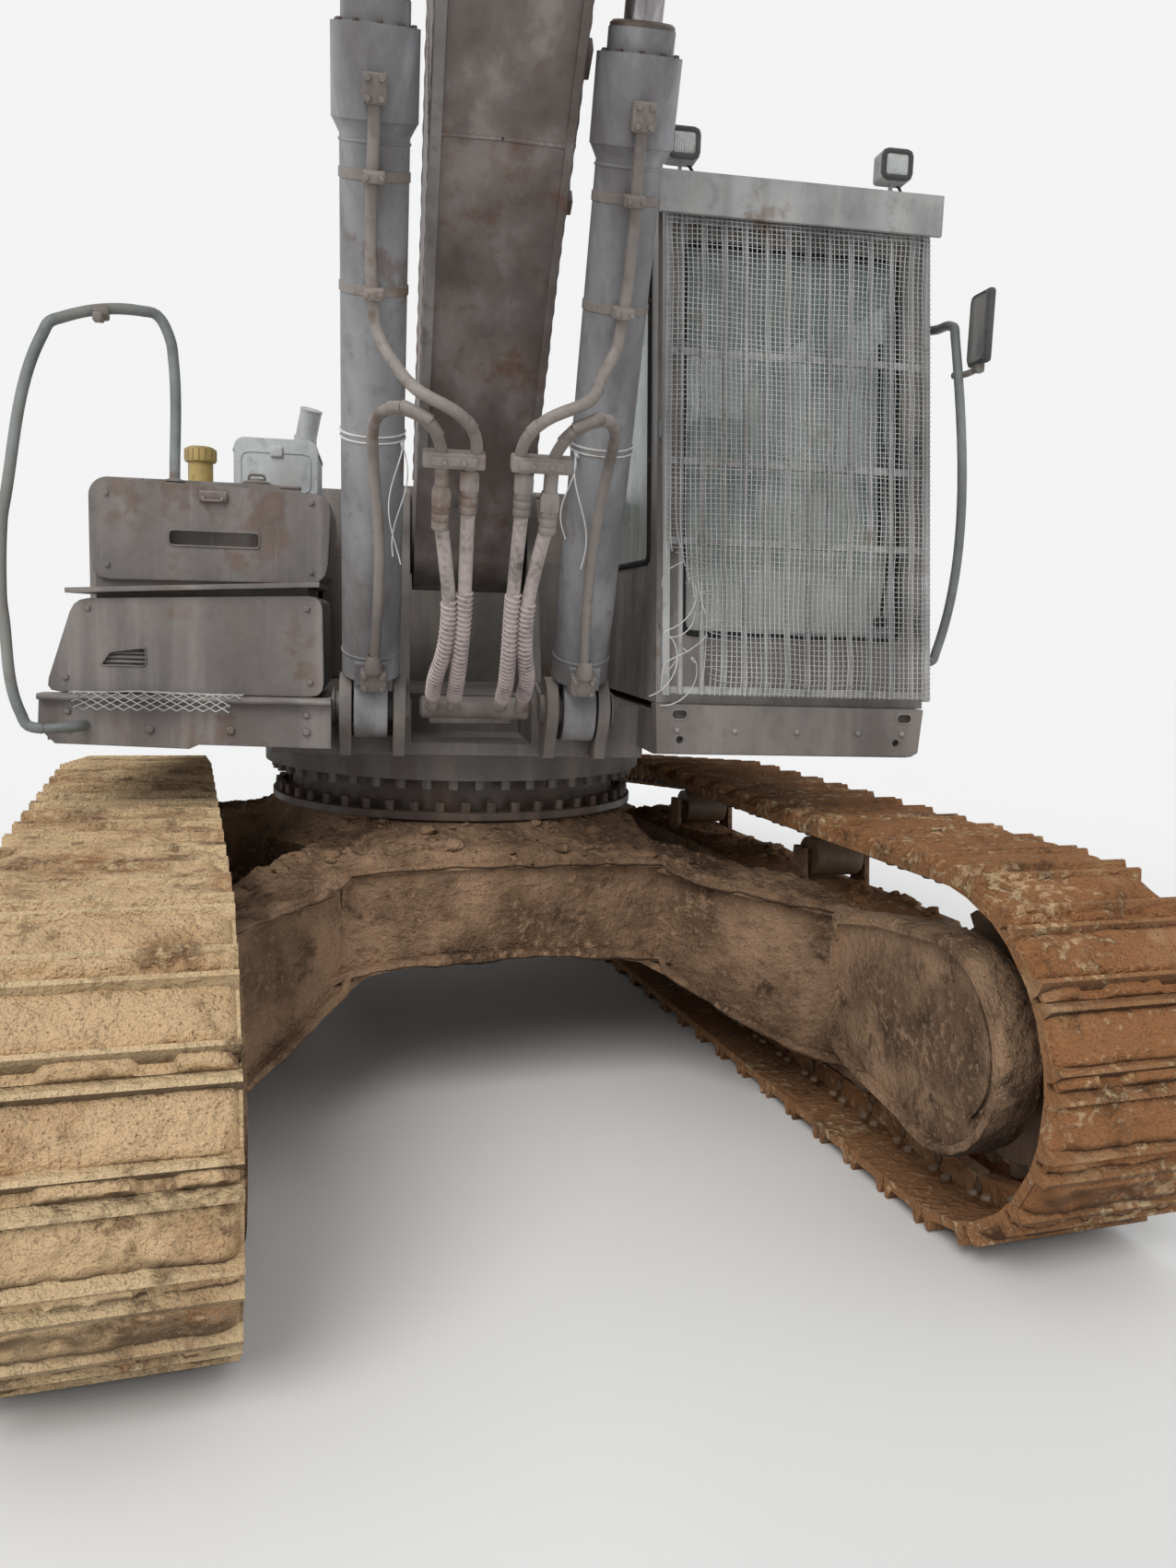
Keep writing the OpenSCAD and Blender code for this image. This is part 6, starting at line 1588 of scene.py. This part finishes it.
def house_trim():
    """Panel seams, roof ribs and bolts of the engine housing, and the bar along its rear edge."""
    shapes = []
    strip = box_outline(0.0025, 0.015)
    for y in (roof_front, roof_rear):
        shapes.append(carried(stations([[-1.50, y, house_z + 0.001], [1.50, y, house_z + 0.001]], 30),
            strip, lead=(0, 1, 0)))
    for x in (-1.44, -0.56, 0.80, 1.44):
        shapes.append(carried(stations([[x, roof_front, house_z + 0.001],
            [x, roof_rear, house_z + 0.001]], 30), strip, lead=(1, 0, 0)))
    spots = [[x, y, house_z + 0.002] for x in np.arange(-1.44, 1.45, 0.24)
        for y in (roof_front, roof_rear)]
    shapes.append(bolts_on(spots, 0.009, 0.007, (0, 0, 1)))
    for d in (-1, 1):
        for z in (1.53, 2.39):
            shapes.append(bolts_on([[d * side_face, y, z] for y in np.arange(1.48, 2.36, 0.21)], 0.009,
                0.007, (d, 0, 0)))
    for x in np.arange(0.88, 1.40, 0.062):
        shapes.append(cushion((x - 0.009, 1.56, house_z - 0.002),
            (x + 0.009, 2.24, house_z + 0.014), 0.004))
    return shapes


piece("housing_trim", house_trim(), dusty_paint, "upper")
hood_ribs = [cushion((x - 0.012, 1.56, house_z + 0.038), (x + 0.012, 2.24, house_z + 0.052), 0.005)
    for x in np.arange(-0.36, 0.64, 0.075)]
hood_ribs += [bars(eased([[x, 2.30, house_z + 0.035], [x, 2.30, house_z + 0.075],
    [x + 0.14, 2.30, house_z + 0.075], [x + 0.14, 2.30, house_z + 0.035]], 0.02), 0.008, 10)
    for x in (-0.30, 0.41)]
piece("hood_ribs", hood_ribs, dusty_paint, "hood")
for d, name in hands:
    fins = []
    for z in np.arange(deck_z + 0.36, house_z - 0.21, 0.06):
        fins.append(put(cushion((-0.013, 1.60, -0.002), (0.013, 2.20, 0.002), 0.0015),
            (np.array([[0.8, 0, -0.6], [0, 1, 0], [0.6, 0, 0.8]]) if d > 0
            else np.array([[0.8, 0, 0.6], [0, 1, 0], [-0.6, 0, 0.8]]),
            np.array([d * 1.5165, 0, z + 0.026]))))
    latch = [block((d * 1.523, 2.26, z), (0.012, 0.05, 0.09), 0.005) for z in (1.75, 2.15)]
    latch += [bars(window(0, d * side_face, (1.54, 1.62), (2.26, 1.80)), 0.004, 6, lead=(1, 0, 0))]
    piece(name + "_door_fins", fins + latch, dusty_paint, name + "_door")

weight_trim = []
for d in (-1, 1):
    weight_trim.append(turned([[0, 0], [0.075, 0], [0.075, 0.02], [0.06, 0.028], [0, 0.028]], 28,
        (0, 0, 1), (d * 1.1, 2.75, house_z - 0.051)))
    weight_trim.append(bolts_on([[d * 1.1, 2.75, house_z - 0.024]], 0.03, 0.02, (0, 0, 1)))
weight_trim.append(bars(stations([[-1.38, 3.02, house_z - 0.05], [1.38, 3.02, house_z - 0.05]], 40),
    0.006, 6, lead=(0, 1, 0)))
weight_trim.append(bars(window(1, 3.3895, (-0.56, 1.575), (0.56, 1.875), 0.06), 0.006, 8, lead=(0, 1, 0)))
piece("weight_trim", weight_trim, dusty_iron, "upper")
deck_plates = []
for near, far in [((-0.66, 0.42, deck_z), (-0.30, 1.38, deck_z + 0.012)),
        ((0.30, 0.60, deck_z), (0.98, 1.38, deck_z + 0.012))]:
    deck_plates.append(cushion(near, far, 0.004))
    xs, ys = np.meshgrid(np.arange(near[0] + 0.03, far[0] - 0.02, 0.045),
        np.arange(near[1] + 0.03, far[1] - 0.02, 0.045))
    studs = turned([[0, 0.004], [0.009, 0.0035], [0.012, 0.0]], 6)
    deck_plates.append(copies(studs, np.column_stack([xs.ravel(), ys.ravel(), np.full(xs.size, far[2])])))
piece("deck_plates", deck_plates, dusty_iron, "upper")
grease = []
for x in (-0.236, 0.236):
    grease.append(bars(bend([[x, -1.00, 1.53], [x * 0.99, -0.78, 1.60], [x * 0.96, -0.60, 1.80],
        [x, -0.52, 2.0]], 50), 0.008, 8))
grease.append(block((0, -0.86, deck_z - 0.06), (0.30, 0.06, 0.05), 0.008))
piece("grease_lines", grease, pipe_steel, "upper")


# Floor, light and background


def studio():
    """A wide pale floor, an even pale sky that shows white, and one broad soft lamp."""
    r = np.concatenate([[0, 4, 9], np.linspace(14, 60, 5)])
    floor = turned(np.column_stack([r, 0 * r - 0.0005]), 64)
    mesh = welded("floor", (floor[0], floor[1][:, ::-1]), outwards=False)
    f = Finish("pale floor", Specular_IOR_Level=0.1)
    f.done(f.mix(f.noise(0.4, 3), rgb(240, 240, 239), rgb(243, 243, 242)), 0.9 + f.noise(2.0, 2) * 0.05)
    mesh.materials.append(f.material)
    ground = bpy.data.objects.new("floor", mesh)
    bpy.context.scene.collection.objects.link(ground)
    ground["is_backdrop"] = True
    world = bpy.data.worlds.new("studio")
    bpy.context.scene.world = world
    world.use_nodes = True
    tree = world.node_tree
    sky = tree.nodes["Background"]
    sky.inputs["Color"].default_value = (0.97, 0.985, 1.0, 1.0)
    sky.inputs["Strength"].default_value = 0.72
    shown = tree.nodes.new("ShaderNodeBackground")
    shown.inputs["Color"].default_value = (1, 1, 1, 1)
    shown.inputs["Strength"].default_value = 0.90
    ray = tree.nodes.new("ShaderNodeLightPath")
    pick = tree.nodes.new("ShaderNodeMixShader")
    tree.links.new(ray.outputs["Is Camera Ray"], pick.inputs[0])
    tree.links.new(sky.outputs[0], pick.inputs[1])
    tree.links.new(shown.outputs[0], pick.inputs[2])
    tree.links.new(pick.outputs[0], tree.nodes["World Output"].inputs["Surface"])
    lamp = bpy.data.lights.new("soft sun", "SUN")
    lamp.energy, lamp.angle, lamp.color = 1.5, 0.6, (1.0, 0.985, 0.96)
    sun = bpy.data.objects.new("soft sun", lamp)
    sun.rotation_euler = (np.radians(48), 0.0, np.radians(-28))
    bpy.context.scene.collection.objects.link(sun)
    bpy.context.scene.view_settings.view_transform = "Standard"


studio()
low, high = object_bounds()
